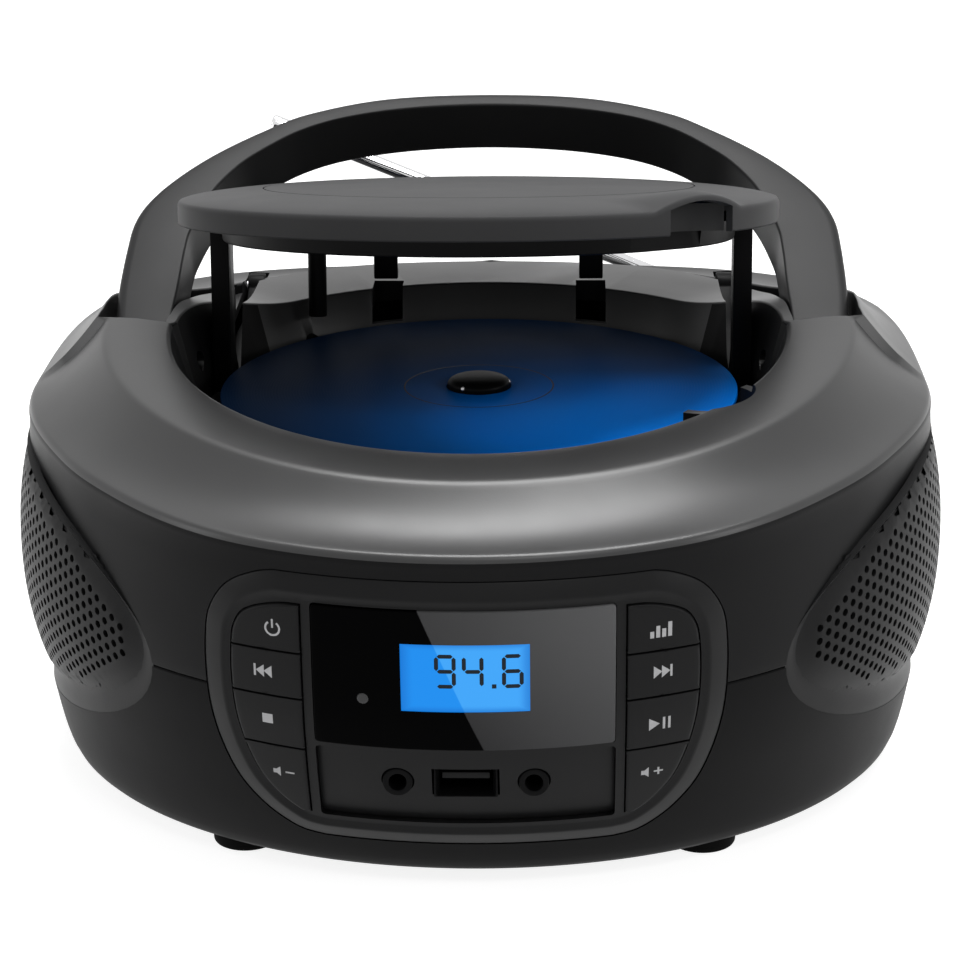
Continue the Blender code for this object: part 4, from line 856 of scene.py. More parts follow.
def fair(spots, steps, closed=False):
    """Points of a smooth curve through spots."""
    count = len(spots)
    spots = [Vector(s) for s in spots]
    curve = []
    for i in range(count if closed else count - 1):
        p1, p2 = spots[i], spots[(i + 1) % count]
        p0 = spots[i - 1] if closed or i > 0 else p1 * 2.0 - p2
        p3 = spots[(i + 2) % count] if closed or i + 2 < count else p2 * 2.0 - p1
        for k in range(steps):
            s = k / steps
            spot = p1 * 2.0 + (p2 - p0) * s + (p0 * 2.0 - p1 * 5.0 + p2 * 4.0 - p3) * s * s
            spot += (p1 * 3.0 - p0 - p2 * 3.0 + p3) * s ** 3
            curve.append(tuple(spot * 0.5))
    if not closed:
        curve.append(tuple(spots[-1]))
    return curve


def mixed(first, second, share):
    return first + (second - first) * share


def quarter(steps):
    """Sine and cosine at even steps over a quarter turn."""
    turns = (math.pi / 2.0 * i / steps for i in range(steps + 1))
    return [(math.sin(a), math.cos(a)) for a in turns]


def blend(value, low, high):
    """0 at low, 1 at high, smooth between."""
    share = min(max((value - low) / (high - low), 0.0), 1.0)
    return share * share * (3.0 - 2.0 * share)


def between(table, key):
    """Row of a table at a key, its first column, by straight lines."""
    if key <= table[0][0]:
        return table[0]
    for low, high in zip(table, table[1:]):
        if key <= high[0]:
            share = (key - low[0]) / (high[0] - low[0])
            return tuple(mixed(a, b, share) for a, b in zip(low, high))
    return table[-1]


# Body

FAIR_SHARES = fair(BODY_SHARES, FAIR_STEPS)


def body_row(z):
    """The body's half width, front depth and rear depth at a height."""
    _, half, front, rear = between(FAIR_SHARES, z / BASE_Z)
    return BODY_HALF * half, BODY_FRONT * front, BODY_REAR * rear


def body_radius(turn, z):
    half, front, rear = body_row(z)
    side, ahead = abs(math.sin(turn)), math.cos(turn)
    depth, power = (front, FRONT_POWER) if ahead > 0 else (rear, REAR_POWER)
    return ((side / half) ** power + (abs(ahead) / depth) ** power) ** (-1 / power)


def body_point(turn, z, out=0.0):
    radius = body_radius(turn, z) + out
    return (radius * math.sin(turn), -radius * math.cos(turn), z)


def front_y(x, z):
    half, front, _ = body_row(z)
    return -front * math.sqrt(1.0 - (x / half) ** 2)


def handle_edge(edge, steps):
    """One edge of the handle from pivot to pivot, as (x, distance behind the pivots)."""
    half, reach, shares = edge
    spots = [(half * across, reach * back) for across, back in shares]
    return fair(spots + [(-x, r) for x, r in reversed(spots[:-1])], steps)


def handle_reach(turn, edge, swell):
    """Radius about the disc's middle of the folded handle's edge at a turn from the front."""
    side, back = math.sin(turn), -math.cos(turn)
    spots = [(x + swell, HANDLE_Y + r) for x, r in edge]
    spots[-1] = (0.0, spots[-1][1] + swell)
    for (x0, y0), (x1, y1) in zip(spots, spots[1:]):
        first, second = x0 * back - y0 * side, x1 * back - y1 * side
        if first >= 0.0 >= second:
            share = first / (first - second) if first != second else 0.0
            return math.hypot(mixed(x0, x1, share), mixed(y0, y1, share))
    return math.hypot(*spots[0])


EDGE_HALF = FAIR_STEPS * (len(HANDLE_INNER[2]) - 1) + 1
INNER_EDGE = handle_edge(HANDLE_INNER, FAIR_STEPS)[:EDGE_HALF]
OUTER_EDGE = handle_edge(HANDLE_OUTER, FAIR_STEPS)[:EDGE_HALF]


def ring_circle(turn, ring):
    """Radius about the disc's middle, and height, of a sloping circle of the top ring."""
    radius, centre_y, front_z, climb = ring
    y = centre_y - radius * math.cos(turn)
    return math.hypot(radius * math.sin(turn), y), front_z + (y - centre_y + radius) * climb


def ring_top(opening, crease):
    """The ring's face from its crease to the opening, and the wall's underside below it."""
    top = []
    for share, rounding in RING_SHARES:
        crown = RING_CROWN * math.sin(math.pi * share)
        radius, height = (mixed(first, last, share) for first, last in zip(crease, opening))
        top.append((radius, height + crown, rounding))
    under = [
        (opening[0] + WALL, opening[1] - WALL, 0.0),
        (crease[0] - HUMP_RISE, crease[1] - WALL - RING_UNDER, 0.0),
    ]
    return top, under


def channel_top(away, opening, crease, shoulder_z):
    """The rear's ridge, handle channel and rim, and the wall's underside below them."""
    y = -CREASE[0] * math.cos(away)
    floor_z = CHANNEL_Z + (y - HANDLE_Y) * CHANNEL_CLIMB
    fall = blend(away, RING_END, HUMP_END)
    ridge_z = crease[1] + (max(floor_z, shoulder_z) + HUMP_RISE - crease[1]) * fall
    ridge_r = handle_reach(away, OUTER_EDGE, CHANNEL_OUTER_ROOM)
    edge_z = opening[1] + (REAR_EDGE_Z - opening[1]) * fall
    cheek_r = max(handle_reach(away, INNER_EDGE, -CHANNEL_INNER_ROOM), REAR_EDGE_R + REAR_RIM)
    top = [
        (ridge_r, ridge_z, 0.9),
        (ridge_r - CHANNEL_DRAFT, floor_z, 0.0),
        (cheek_r + CHANNEL_DRAFT / 3.0, floor_z, 0.0),
        (cheek_r, edge_z, 0.0),
        (REAR_EDGE_R, edge_z, 0.5),
    ]
    under = [
        (REAR_EDGE_R + CHANNEL_DRAFT / 3.0, min(floor_z, edge_z) - WALL, 0.0),
        (ridge_r - CHANNEL_DRAFT, floor_z - WALL, 0.0),
    ]
    return top, under


def top_profile(turn):
    """Closed loop of (radius, height) round the top housing's wall at a turn from the front."""
    away = min(turn, math.tau - turn)
    rear = away > RING_END
    spot_y = min(-SHOULDER_R * math.cos(away), SHOULDER_R / 2.0)
    shoulder_z = SHOULDER_Z + (spot_y + SHOULDER_R) * SHOULDER_CLIMB
    tuck = SHOULDER_TUCK * blend(away, *TUCK_TURNS[:2]) * (1.0 - blend(away, *TUCK_TURNS[2:]))
    shoulder_r = body_radius(away, shoulder_z) - tuck
    seam_z = SPLIT_Z + SEAM_GAP
    outer = [(body_radius(away, seam_z), seam_z, SEAM_ROUND)]
    for share in WALL_SHARES:
        z = mixed(seam_z, shoulder_z, share)
        outer.append((body_radius(away, z) - tuck * blend(share, TUCK_START, 1.0), z, 0.0))
    outer.append((shoulder_r + SHOULDER_BEAD, shoulder_z - SHOULDER_DROP, SHOULDER_ROUNDS[0]))
    outer.append((shoulder_r - SHOULDER_BEAD, shoulder_z, SHOULDER_ROUNDS[1]))
    opening, crease = ring_circle(away, OPENING), ring_circle(away, CREASE)
    top, under = channel_top(away, opening, crease, shoulder_z) if rear else ring_top(opening, crease)
    start, end = outer[-1], top[0]
    band = []
    for i in range(1, BAND_STEPS):
        share = i / BAND_STEPS
        sag = BAND_SAG * math.sin(math.pi * share) * (0.5 if rear else 1.0)
        band.append((mixed(start[0], end[0], share), mixed(start[1], end[1], share) - sag, 0.0))
    well = [(WELL_R, WELL_Z, 0.0), (WELL_R + WALL, WELL_Z, 0.0)]
    inside = [(shoulder_r - WALL - SHOULDER_BEAD, shoulder_z - 2.0 * WALL, 0.0)]
    middle_z = (seam_z + shoulder_z) / 2.0
    inside += [(body_radius(away, z) - WALL, z, 0.0) for z in (middle_z, seam_z)]
    return eased(outer + band + top + well + under + inside)


def panel_rows():
    """(height, half width) down one side of the front panel."""
    return fair([(PANEL_TOP - PANEL_HIGH * down, PANEL_HALF * wide) for down, wide in PANEL_SHARES], 4)


def panel_outline(swell):
    right = [(half, z) for z, half in panel_rows()]
    return swelled(right + [(-x, z) for x, z in reversed(right)], swell)


def oval(share, side, out):
    """Ring of a share of a grille's outer oval on the body's side."""
    loop = []
    for across, up in circle(share, BED_STEPS):
        x, y, z = body_point(GRILLE_TURN + GRILLE_TURN_HALF * across, GRILLE_Z + GRILLE_HALF_HIGH * up, out)
        loop.append((side * x, y, z))
    return loop


def grille_bed(side):
    """Cutter for the shallow recess that a grille lies in."""
    rings = [oval(share, side, -BED_DEPTH) for share in BED_SHARES]
    rings += [oval(share, side, OVERRUN) for share in reversed(BED_SHARES)]
    return loft(rings)


def speaker_hole(side):
    return rod(SPEAKER_BORE_R, *((side * x, 0.0, GRILLE_Z) for x in SPEAKER_BORE_ENDS))


def arm_slot(side):
    half = ARM_WIDE / 2.0 + ARM_ROOM
    return box(side * ARM_X - half, side * ARM_X + half, *ARM_SLOT)


def hinge_cheeks():
    """The four blocks that the lid's hinge pins are held in."""
    blocks = []
    for side in (-1, 1):
        for reach in (-1, 1):
            ends = sorted(side * (ARM_X + reach * (ARM_WIDE / 2.0 + room)) for room in CHEEK_ROOMS)
            blocks.append(slab(rounded(*CHEEK), *ends, "X"))
    return blocks


def notch_wall():
    """Crescent that closes the finger notch off from the hollow behind it."""
    arc = [(NOTCH[0] + u, NOTCH[1] + v) for u, v in circle(NOTCH_R + WALL, NOTCH_STEPS)]
    quarter = NOTCH_STEPS // 4
    arc = [spot for spot in arc[quarter:] + arc[:quarter] if math.hypot(*spot) > WELL_R + NOTCH_WALL_OUT]
    first, last = math.atan2(*reversed(arc[0])), math.atan2(*reversed(arc[-1]))
    inner = WELL_R + REAR_RIM
    for i in range(1, NOTCH_WALL_STEPS):
        a = mixed(last, first, i / NOTCH_WALL_STEPS)
        arc.append((inner * math.cos(a), inner * math.sin(a)))
    return slab(arc, NOTCH_WALL_LOW, NOTCH_WALL_TOP)


def top_housing():
    past_end = RING_END + RING_END_STEP
    turns = sorted(TURNS + [past_end, math.tau - past_end])
    rings = [[(r * math.sin(turn), -r * math.cos(turn), z) for r, z in top_profile(turn)] for turn in turns]
    made = to_object("top_housing_shell", loft(rings, closed=True), CHARCOAL)
    carve(made, [notch_wall()] + hinge_cheeks(), "UNION")
    cutters = [slab(panel_outline(SEAM_GAP), *PANEL_CUT, "Y")]
    for side in (-1, 1):
        pin = [(side * x, HANDLE_Y, HANDLE_Z) for x in PIN_BORE_ENDS]
        cutters += [arm_slot(side), speaker_hole(side), grille_bed(side), rod(PIN_R + PIN_ROOM, *pin)]
    cutters.append(rod(NOTCH_R, (*NOTCH, NOTCH_FLOOR), (*NOTCH, NOTCH_TOP), NOTCH_STEPS))
    half, front, back, low = HOOK_SLOT
    cutters += [box(x - half, x + half, front, back, low, OVERRUN) for x in HOOK_XS]
    cutters.append(rod(*LOCK_WELL))
    x, y, z = ANTENNA
    cutters.append(rod(TURRET_BORE_R, *((x, y + reach, z) for reach in TURRET_BORE)))
    carve(made, cutters)
    # Faces turned up get the lighter copy of the plastic: painted light on the housing's top
    made.data.materials.append(PAINTED_LIGHT_TOP)
    for face in made.data.polygons:
        if face.normal.z > RING_FACE_RISE:
            face.material_index = 1
    finish_piece(made, "housing", "top_housing")


def bottom_housing():
    def outline(z, out, height=None):
        spots = [body_point(turn, z, out) for turn in TURNS]
        return [(x, y, z if height is None else height) for x, y, _ in spots]

    seam_z = SPLIT_Z - SEAM_GAP
    low, middle, edge = (share * BASE_Z for share in LOWER_SHARES)
    rings = [outline(low, -FLOOR_INSET, BASE_Z + WALL), outline(low, -WALL), outline(middle, -WALL)]
    rings += [outline(SPLIT_Z, -WALL, seam_z), outline(SPLIT_Z, -SEAM_ROUND, seam_z)]
    rings += [outline(seam_z - SEAM_ROUND, 0.0)]
    z = seam_z - LOWER_WALL_START
    while z > edge:
        rings.append(outline(z, 0.0))
        z -= LOWER_WALL_STEP
    rings += [outline(share * BASE_Z, out) for share, out in BASE_EDGE]
    made = to_object("bottom_housing_shell", loft(rings), LOWER)
    cutters = [slab(panel_outline(SEAM_GAP), *PANEL_CUT, "Y")]
    for side in (-1, 1):
        cutters += [speaker_hole(side), grille_bed(side)]
    cutters.append(slab(rounded(*BATTERY_HOLE), BASE_Z - OVERRUN, BASE_Z + OVERRUN))
    cutters.append(box(*INLET_HOLE))
    carve(made, cutters)
    finish_piece(made, "housing", "bottom_housing")


# Grilles

def holes_share(along, z):
    """How far out a place is in the holes' oval, from an arc length off its middle and a height."""
    return math.hypot(along / (HOLES_TURN_HALF * BODY_HALF), (z - HOLES_Z) / HOLES_HALF_HIGH)


def net_rise(share):
    """How far the net's dome stands out of the body."""
    if share < DOME_END:
        return GRILLE_BULGE * (1.0 - share ** DOME_POWER)
    fall = blend(share, DOME_END, NET_END)
    return GRILLE_BULGE * (1.0 - DOME_END ** DOME_POWER) * (1.0 - fall) - NET_SINK * fall


def net(side):
    """Domed net of round holes in six-sided cells; cells at its edge have no hole."""
    points, faces, index = [], [], {}

    def vertex(along, z, sheet):
        key = (round(along, 3), round(z, 3), sheet)
        if key not in index:
            out = net_rise(holes_share(along, z)) - GRILLE_THICK * sheet
            x, y, height = body_point(GRILLE_TURN + along / BODY_HALF, z, out)
            index[key] = len(points)
            points.append((side * x, y, height))
        return index[key]

    def sheets(loop):
        return [[vertex(a, b, sheet) for a, b in loop] for sheet in (0, 1)]

    corner = HOLE_PITCH / math.sqrt(3.0)
    columns = int(HOLES_TURN_HALF * BODY_HALF / (1.5 * corner)) + 2
    rows = int(HOLES_HALF_HIGH / HOLE_PITCH) + 2
    for i in range(-columns, columns + 1):
        for j in range(-rows, rows + 1):
            along = i * 1.5 * corner
            z = HOLES_Z + HOLE_PITCH * (j + (0.5 if i % 2 else 0.0))
            turns = [math.pi / 3.0 * k for k in range(6)]
            cell = [(along + corner * math.cos(a), z + corner * math.sin(a)) for a in turns]
            reach = max(holes_share(*spot) for spot in cell)
            if reach > NET_REACH:
                continue
            rim = []
            for a, b in zip(cell, cell[1:] + cell[:1]):
                rim += [a, ((a[0] + b[0]) / 2.0, (a[1] + b[1]) / 2.0)]
            front, back = sheets(rim)
            if reach >= HOLES_REACH:
                faces += [tuple(front), tuple(reversed(back))]
                continue
            turns = [math.pi / 6.0 * k for k in range(HOLE_SIDES)]
            inner, deep = sheets([(along + HOLE_R * math.cos(a), z + HOLE_R * math.sin(a)) for a in turns])
            for k in range(HOLE_SIDES):
                m = (k + 1) % HOLE_SIDES
                faces.append((front[k], front[m], inner[m], inner[k]))
                faces.append((deep[k], deep[m], back[m], back[k]))
                faces.append((inner[k], inner[m], deep[m], deep[k]))
    return points, faces


def margin_loop(side, share, out):
    """Loop between the holes' oval at 0 and the outer oval at 1."""
    inner, outer = MARGIN_SHARES
    half = mixed(HOLES_TURN_HALF * inner, GRILLE_TURN_HALF * outer, share)
    high = mixed(HOLES_HALF_HIGH * inner, GRILLE_HALF_HIGH * outer, share)
    middle = mixed(HOLES_Z, GRILLE_Z, share)
    loop = []
    for across, up in circle(1.0, OVAL_STEPS):
        x, y, z = body_point(GRILLE_TURN + half * across, middle + high * up, out)
        loop.append((side * x, y, z))
    return loop


def grille(word, side):
    """The net, inside a smooth dished margin."""
    made = to_object(f"grille_net_{word}", net(side), GRILLE, weld=False)
    finish_piece(made, "housing", f"grille_{word}")
    rings = [margin_loop(side, 0.0, MARGIN_BACK), margin_loop(side, 0.0, MARGIN_START)]
    for i in range(1, DISH_STEPS + 1):
        share = i / DISH_STEPS
        dish = DISH_DEPTH * math.sin(math.pi * share) * (1.0 - share)
        rings.append(margin_loop(side, share, MARGIN_START - dish + DISH_RISE * share ** DISH_POWER))
    rings.append(margin_loop(side, 1.0, MARGIN_BACK))
    piece(f"grille_margin_{word}", loft(rings, closed=True), CHARCOAL, "housing")


# Front panel

def front_plate(rows, columns, levels):
    """A plate on the body's front from rows of (height, left x, right x), top to bottom.

    Each level is (inset of the outline, distance out of the body), from behind to the face."""
    count = len(rows)

    def row_points(k):
        z, left, right = rows[k]
        return [(left + (right - left) * j / columns, z) for j in range(columns + 1)]

    rim = row_points(0) + [(right, z) for z, _, right in rows[1:-1]] + row_points(count - 1)[::-1]
    rim += [(left, z) for z, left, _ in rows[-2:0:-1]]
    points, faces = [], []
    size = len(rim)
    for level, (inset, out) in enumerate(levels):
        loop = swelled(rim, -inset) if inset else rim
        points += [(x, front_y(x, z) - out, z) for x, z in loop]
        if level:
            a = (level - 1) * size
            for i in range(size):
                k = (i + 1) % size
                faces.append((a + i, a + k, a + size + k, a + size + i))
    faces.append(tuple(range(size)))
    start = (len(levels) - 1) * size
    grid = [[start + j for j in range(columns + 1)]]
    for k in range(1, count - 1):
        right, left = start + columns + k, start + size - k
        (rx, _, rz), (lx, _, lz) = points[right], points[left]
        line = [left]
        for j in range(1, columns):
            x, z = (first + (last - first) * j / columns for first, last in ((lx, rx), (lz, rz)))
            line.append(len(points))
            points.append((x, front_y(x, z) - levels[-1][1], z))
        grid.append(line + [right])
    low = start + columns + count - 1
    grid.append([low + columns - j for j in range(columns + 1)])
    for upper, lower in zip(grid, grid[1:]):
        faces += [(upper[j], upper[j + 1], lower[j + 1], lower[j]) for j in range(columns)]
    return points, faces


def round_levels(deep, proud, rounding):
    """Levels of a plate whose front edge is round."""
    levels = [(0.0, -deep), (0.0, proud - rounding)]
    for out, back in quarter(ROUND_STEPS)[1:]:
        levels.append((rounding * (1.0 - back), proud - rounding * (1.0 - out)))
    return levels


def panel_inset(inset):
    """(height, half width) pairs of the panel's outline moved inwards, low to high."""
    count = len(panel_rows())
    return sorted((z, x) for x, z in panel_outline(-inset)[:count])


BUTTON_EDGE = panel_inset(BUTTON_MARGIN)


def button_rows(row, side, margin=0.0):
    """Rows of one button, which ends at the panel's rim."""
    top, low = (FIELD_TOP - BUTTON_COLUMN_HIGH * BUTTON_EDGE_SHARES[row + down] for down in (0, 1))
    top, low = top - BUTTON_SLIT + margin, low + BUTTON_SLIT - margin
    rows = []
    for i in range(BUTTON_STEPS + 1):
        z = mixed(top, low, 0.5 - 0.5 * math.cos(math.pi * i / BUTTON_STEPS))
        reach = between(BUTTON_EDGE, z)[1]
        if row == 0 and top - z < BUTTON_CORNER:
            reach -= BUTTON_CORNER - math.sqrt(BUTTON_CORNER ** 2 - (BUTTON_CORNER - top + z) ** 2)
        left, right = sorted((side * (BUTTON_IN - margin), side * (reach + margin)))
        rows.append((z, left, right))
    return rows


def rows_outline(rows):
    return [(right, z) for z, _, right in rows] + [(left, z) for z, left, _ in reversed(rows)]


def field_rows(top, low):
    """Rows of a rectangle with round corners in the middle of the panel."""
    rows = [(top - FIELD_CORNER * (1.0 - down), FIELD_HALF - FIELD_CORNER * (1.0 - out))
            for out, down in quarter(CORNER_STEPS)]
    ends = (top - FIELD_CORNER, low + FIELD_CORNER)
    middle = [(mixed(*ends, i / FAIR_STEPS), FIELD_HALF) for i in range(1, FAIR_STEPS)]
    lower = [(low + top - z, x) for z, x in reversed(rows)]
    return [(z, -x, x) for z, x in rows + middle + lower]


def front_panel():
    rows = [(z, -x, x) for z, x in panel_rows()]
    made = to_object("front_panel_face", front_plate(rows, 64, PANEL_LEVELS), PANEL)
    half = FIELD_HALF + FIELD_ROOM
    outlines = [rounded(-half, half, low - FIELD_ROOM, top + FIELD_ROOM, 1.0)
                for top, low in ((FIELD_TOP, FIELD_LOW), (JACK_FIELD_TOP, JACK_FIELD_LOW))]
    for names, side in ((LEFT_BUTTONS, -1), (RIGHT_BUTTONS, 1)):
        outlines += [rows_outline(button_rows(row, side, BUTTON_ROOM)) for row in range(len(names))]
    carve(made, [slab(outline, *PANEL_CUT, "Y") for outline in outlines])
    finish_piece(made, "housing", "front_panel")


# Keys and their printed signs, drawn as flat outlines in millimetres about a key's middle

def bar(x0, x1, z0, z1):
    return [(x0, z0), (x1, z0), (x1, z1), (x0, z1)]


def arrow(x, way, size, high=1.35):
    return [(x - way * size / 2.0, -high), (x + way * size / 2.0, 0.0), (x - way * size / 2.0, high)]


def arc_band(radius, width, start, end):
    turns = [math.radians(start + (end - start) * i / ARC_STEPS) for i in range(ARC_STEPS + 1)]
    radii = (radius + width / 2, radius - width / 2)
    outer, inner = ([(r * math.cos(a), r * math.sin(a)) for a in turns] for r in radii)
    return outer + inner[::-1]


HORN = [(-1.9, -0.55), (-1.2, -0.55), (-0.35, -1.3), (-0.35, 1.3), (-1.2, 0.55), (-1.9, 0.55)]
SIGNS = {
    "power": ((-38.2, -21.0), [arc_band(1.45, 0.42, 125.0, 415.0), bar(-0.2, 0.2, 0.1, 2.0)]),
    "previous": ((-40.2, -30.6), [bar(-2.3, -1.85, -1.3, 1.3), arrow(-1.0, -1, 1.7), arrow(0.65, -1, 1.7)]),
    "stop": ((-40.1, -41.4), [bar(-1.1, 1.1, -1.1, 1.1)]),
    "volume_down": ((-37.9, -54.7), [HORN, bar(0.7, 2.6, -0.2, 0.2)]),
    "mode": ((39.1, -21.4), [bar(-2.0, -1.2, -1.5, -0.1), bar(-0.8, 0.0, -1.5, 1.0), bar(0.4, 1.2, -1.5, 0.3),
                             bar(1.6, 2.4, -1.5, 1.6)]),
    "next": ((39.4, -30.4), [bar(1.85, 2.3, -1.3, 1.3), arrow(-0.65, 1, 1.7), arrow(1.0, 1, 1.7)]),
    "play": ((39.4, -42.2), [arrow(-1.2, 1, 2.2, 1.45), bar(0.5, 1.0, -1.4, 1.4), bar(1.6, 2.1, -1.4, 1.4)]),
    "volume_up": ((37.6, -54.3), [HORN, bar(0.7, 2.6, -0.2, 0.2), bar(1.45, 1.85, -0.95, 0.95)]),
}


def sign(name, outlines, centre, out, paint, body):
    """Thin raised print on the front."""
    shapes = []
    for outline in outlines:
        spots = [(centre[0] + u, centre[1] + v) for u, v in outline]
        levels = (out - PRINT_DEEP, out + PRINT_PROUD)
        shapes.append(loft([[(x, front_y(x, z) - level, z) for x, z in spots] for level in levels]))
    piece(name, joined(*shapes), paint, body)


def buttons():
    for names, side in ((LEFT_BUTTONS, -1), (RIGHT_BUTTONS, 1)):
        for row, name in enumerate(names):
            shape = front_plate(button_rows(row, side), 16, round_levels(*BUTTON_LEVELS))
            piece(f"{name}_key", shape, BUTTON, f"{name}_key", f"{name}_button")
            centre, outlines = SIGNS[name]
            sign(f"{name}_sign", outlines, centre, BUTTON_PROUD, PRINT, f"{name}_key")


def segment(centre, start, end, upright):
    """Six-cornered segment of a digit between two ends."""
    half = SEGMENT_THICK / 2.0
    near, far = start + SEGMENT_SLACK, end - SEGMENT_SLACK
    spots = ((near, 0.0), (near + half, half), (far - half, half), (far, 0.0), (far - half, -half),
             (near + half, -half))
    return [(centre + across, along) if upright else (along, centre + across) for along, across in spots]


def digit(character, x, z):
    """Outlines of a digit's lit segments with its lower left corner at x, z."""
    half, middle = SEGMENT_THICK / 2.0, DIGIT_HIGH / 2.0
    left, right = x + half, x + DIGIT_WIDE - half
    levels = {"a": DIGIT_HIGH - half, "g": middle, "d": half}
    shapes = {name: segment(z + up, left, right, False) for name, up in levels.items()}
    uprights = (("b", right, middle), ("c", right, half), ("f", left, middle), ("e", left, half))
    for name, across, low in uprights:
        shapes[name] = segment(across, z + low, z + low + middle - half, True)
    return [shapes[name] for name in SEGMENTS[character]]


def display():
    window = front_plate(field_rows(FIELD_TOP, FIELD_LOW), 40, round_levels(*WINDOW_LEVELS))
    glass = to_object("display_window", window, WINDOW)
    carve(glass, [slab(rounded(*LCD_HOLE), *PANEL_CUT, "Y")])
    finish_piece(glass, "housing", "display_lens")
    half = LCD_HALF + LCD_ROOM
    rows = [(LCD_Z + LCD_HALF_HIGH * (1.0 - i / 3), LCD_X - half, LCD_X + half) for i in range(7)]
    piece("number_display", front_plate(rows, 16, LCD_LEVELS), LIT, "housing", "lcd_module")
    low = LCD_Z - NUMBERS_DROP
    numbers = [outline for character, x in SHOWN for outline in digit(character, LCD_X + x, low)]
    left, right, high = POINT
    numbers.append(bar(LCD_X + left, LCD_X + right, low, low + high))
    sign("display_numbers", numbers, (0.0, 0.0), LCD_LEVELS[1][1], DIGIT, "housing")
    middle_x, middle_z = SENSOR_SPOT
    rings = []
    for radius, out in SENSOR_LEVELS:
        spots = [(middle_x + u, middle_z + v) for u, v in circle(radius, 40)]
        rings.append([(x, front_y(x, z) - out, z) for x, z in spots])
    piece("remote_sensor", loft(rings), SENSOR, "housing")


def sockets():
    def block(half, high, near, far):
        return box(-half, half, face + near, face + far, JACK_Z - high, JACK_Z + high)

    levels = ((0.0, -JACK_DEEP), (0.0, -JACK_SINK))
    shape = front_plate(field_rows(JACK_FIELD_TOP, JACK_FIELD_LOW), 40, levels)
    plate = to_object("jack_plate", shape, PANEL)
    face = front_y(JACK_X, JACK_Z) + JACK_SINK
    cutters = [block(*USB_HOLE, -OVERRUN, OVERRUN)]
    for x in (-JACK_X, JACK_X):
        cutters.append(rod(JACK_HOLE_R, (x, face - OVERRUN, JACK_Z), (x, face + OVERRUN, JACK_Z)))
    carve(plate, cutters)
    finish_piece(plate, "housing", "jack_panel")
    for name, x in (("headphone", -JACK_X), ("line_in", JACK_X)):
        shape = turned(eased(JACK_PROFILE), WIDE_STEPS, (x, face, JACK_Z), "Y")
        piece(f"{name}_socket", shape, BLACK, "housing", f"{name}_jack")
    usb = to_object("usb_shell", block(*USB_SHELL), BLACK)
    mouth = [[(x * s, face + y, JACK_Z + z * s) for x, z in rounded(*USB_MOUTH)] for y, s in USB_MOUTH_RINGS]
    carve(usb, [loft(mouth)])
    soften(usb, USB_ROUND, 2)
    finish_piece(usb, "housing", "usb_socket")
    half, near, far, low, high = USB_TONGUE
    tongue = box(-half, half, face + near, face + far, JACK_Z + low, JACK_Z + high)
    tongue = to_object("usb_tongue", tongue, PANEL)
    soften(tongue, TONGUE_ROUND, 2)
    finish_piece(tongue, "housing")


# Disc and its drive

def disc_and_hub():
    disc = eased([(DISC_HOLE_R, 0.0, 0.15), (DISC_R, 0.0, 0.3), (DISC_R, -DISC_THICK, 0.3),
                  (DISC_HOLE_R, -DISC_THICK, 0.15)])
    piece("blue_disc", turned(disc, DISC_STEPS), DISC, "spindle", "compact_disc")
    middle, half, low, high = CLAMP_RING
    ring = ((middle - half, low), (middle + half, low), (middle + half, high), (middle - half, high))
    piece("disc_clamp_ring", turned(ring, 160), BLACK, "spindle")
    piece("spindle_cap", turned(eased(HUB_PROFILE), 96), BLACK, "spindle", "spindle_hub")
    radius, height = CATCH_PLACE
    catches = [turned(CATCH_PROFILE, 16, (across, up, height)) for across, up in circle(radius, 3)]
    piece("spindle_catches", joined(*catches), STEEL, "spindle")


# Handle

def handle():
    half = HANDLE_THICK / 2.0
    tilt = Matrix.Rotation(HANDLE_TILT, 3, "X")
    pivot = Vector((0.0, HANDLE_Y, HANDLE_Z))
    rings = []
    for pair in zip(*(handle_edge(edge, HANDLE_STEPS) for edge in (HANDLE_INNER, HANDLE_OUTER))):
        inner, outer = (Vector(spot) for spot in pair)
        wide = (outer - inner).length
        across = (outer - inner).normalized()
        section = eased([(0.0, -half, HANDLE_INNER_ROUND), (0.0, half, HANDLE_INNER_ROUND),
                         (wide, half, HANDLE_OUTER_ROUND), (wide, -half, HANDLE_OUTER_ROUND)], True, 5)
        rings.append([tuple(pivot + tilt @ Vector((*(inner + across * reach), up))) for reach, up in section])
    made = to_object("carry_handle", loft(rings), HANDLE_LOOK)
    bores = [[(side * x, HANDLE_Y, HANDLE_Z) for x in HANDLE_BORE_ENDS] for side in (-1, 1)]
    carve(made, [rod(PIN_R + HANDLE_BORE_ROOM, *ends) for ends in bores])
    finish_piece(made, "handle", "handle")
    profile = eased([(0.0, PIN_INNER, 0.0), (PIN_R, PIN_INNER, 0.5), (PIN_R, PIN_OUTER, 0.3),
                     (0.0, PIN_OUTER, 0.0)])
    for word, side in (("left", -1), ("right", 1)):
        shape = turned([(r, side * along) for r, along in profile], 48, (0.0, HANDLE_Y, HANDLE_Z), "X")
        node = f"handle_pin_{word}"
        piece(f"pivot_pin_{word}", shape, CHARCOAL, pin_body(node), node)


def pin_body(node):
    """The body that a CAD node rides on."""
    parent = frame["nodes"][node].parent
    while parent is not None:
        for name, empty in frame["bodies"].items():
            if parent == empty:
                return name
        parent = parent.parent
    return "housing"


# Lid

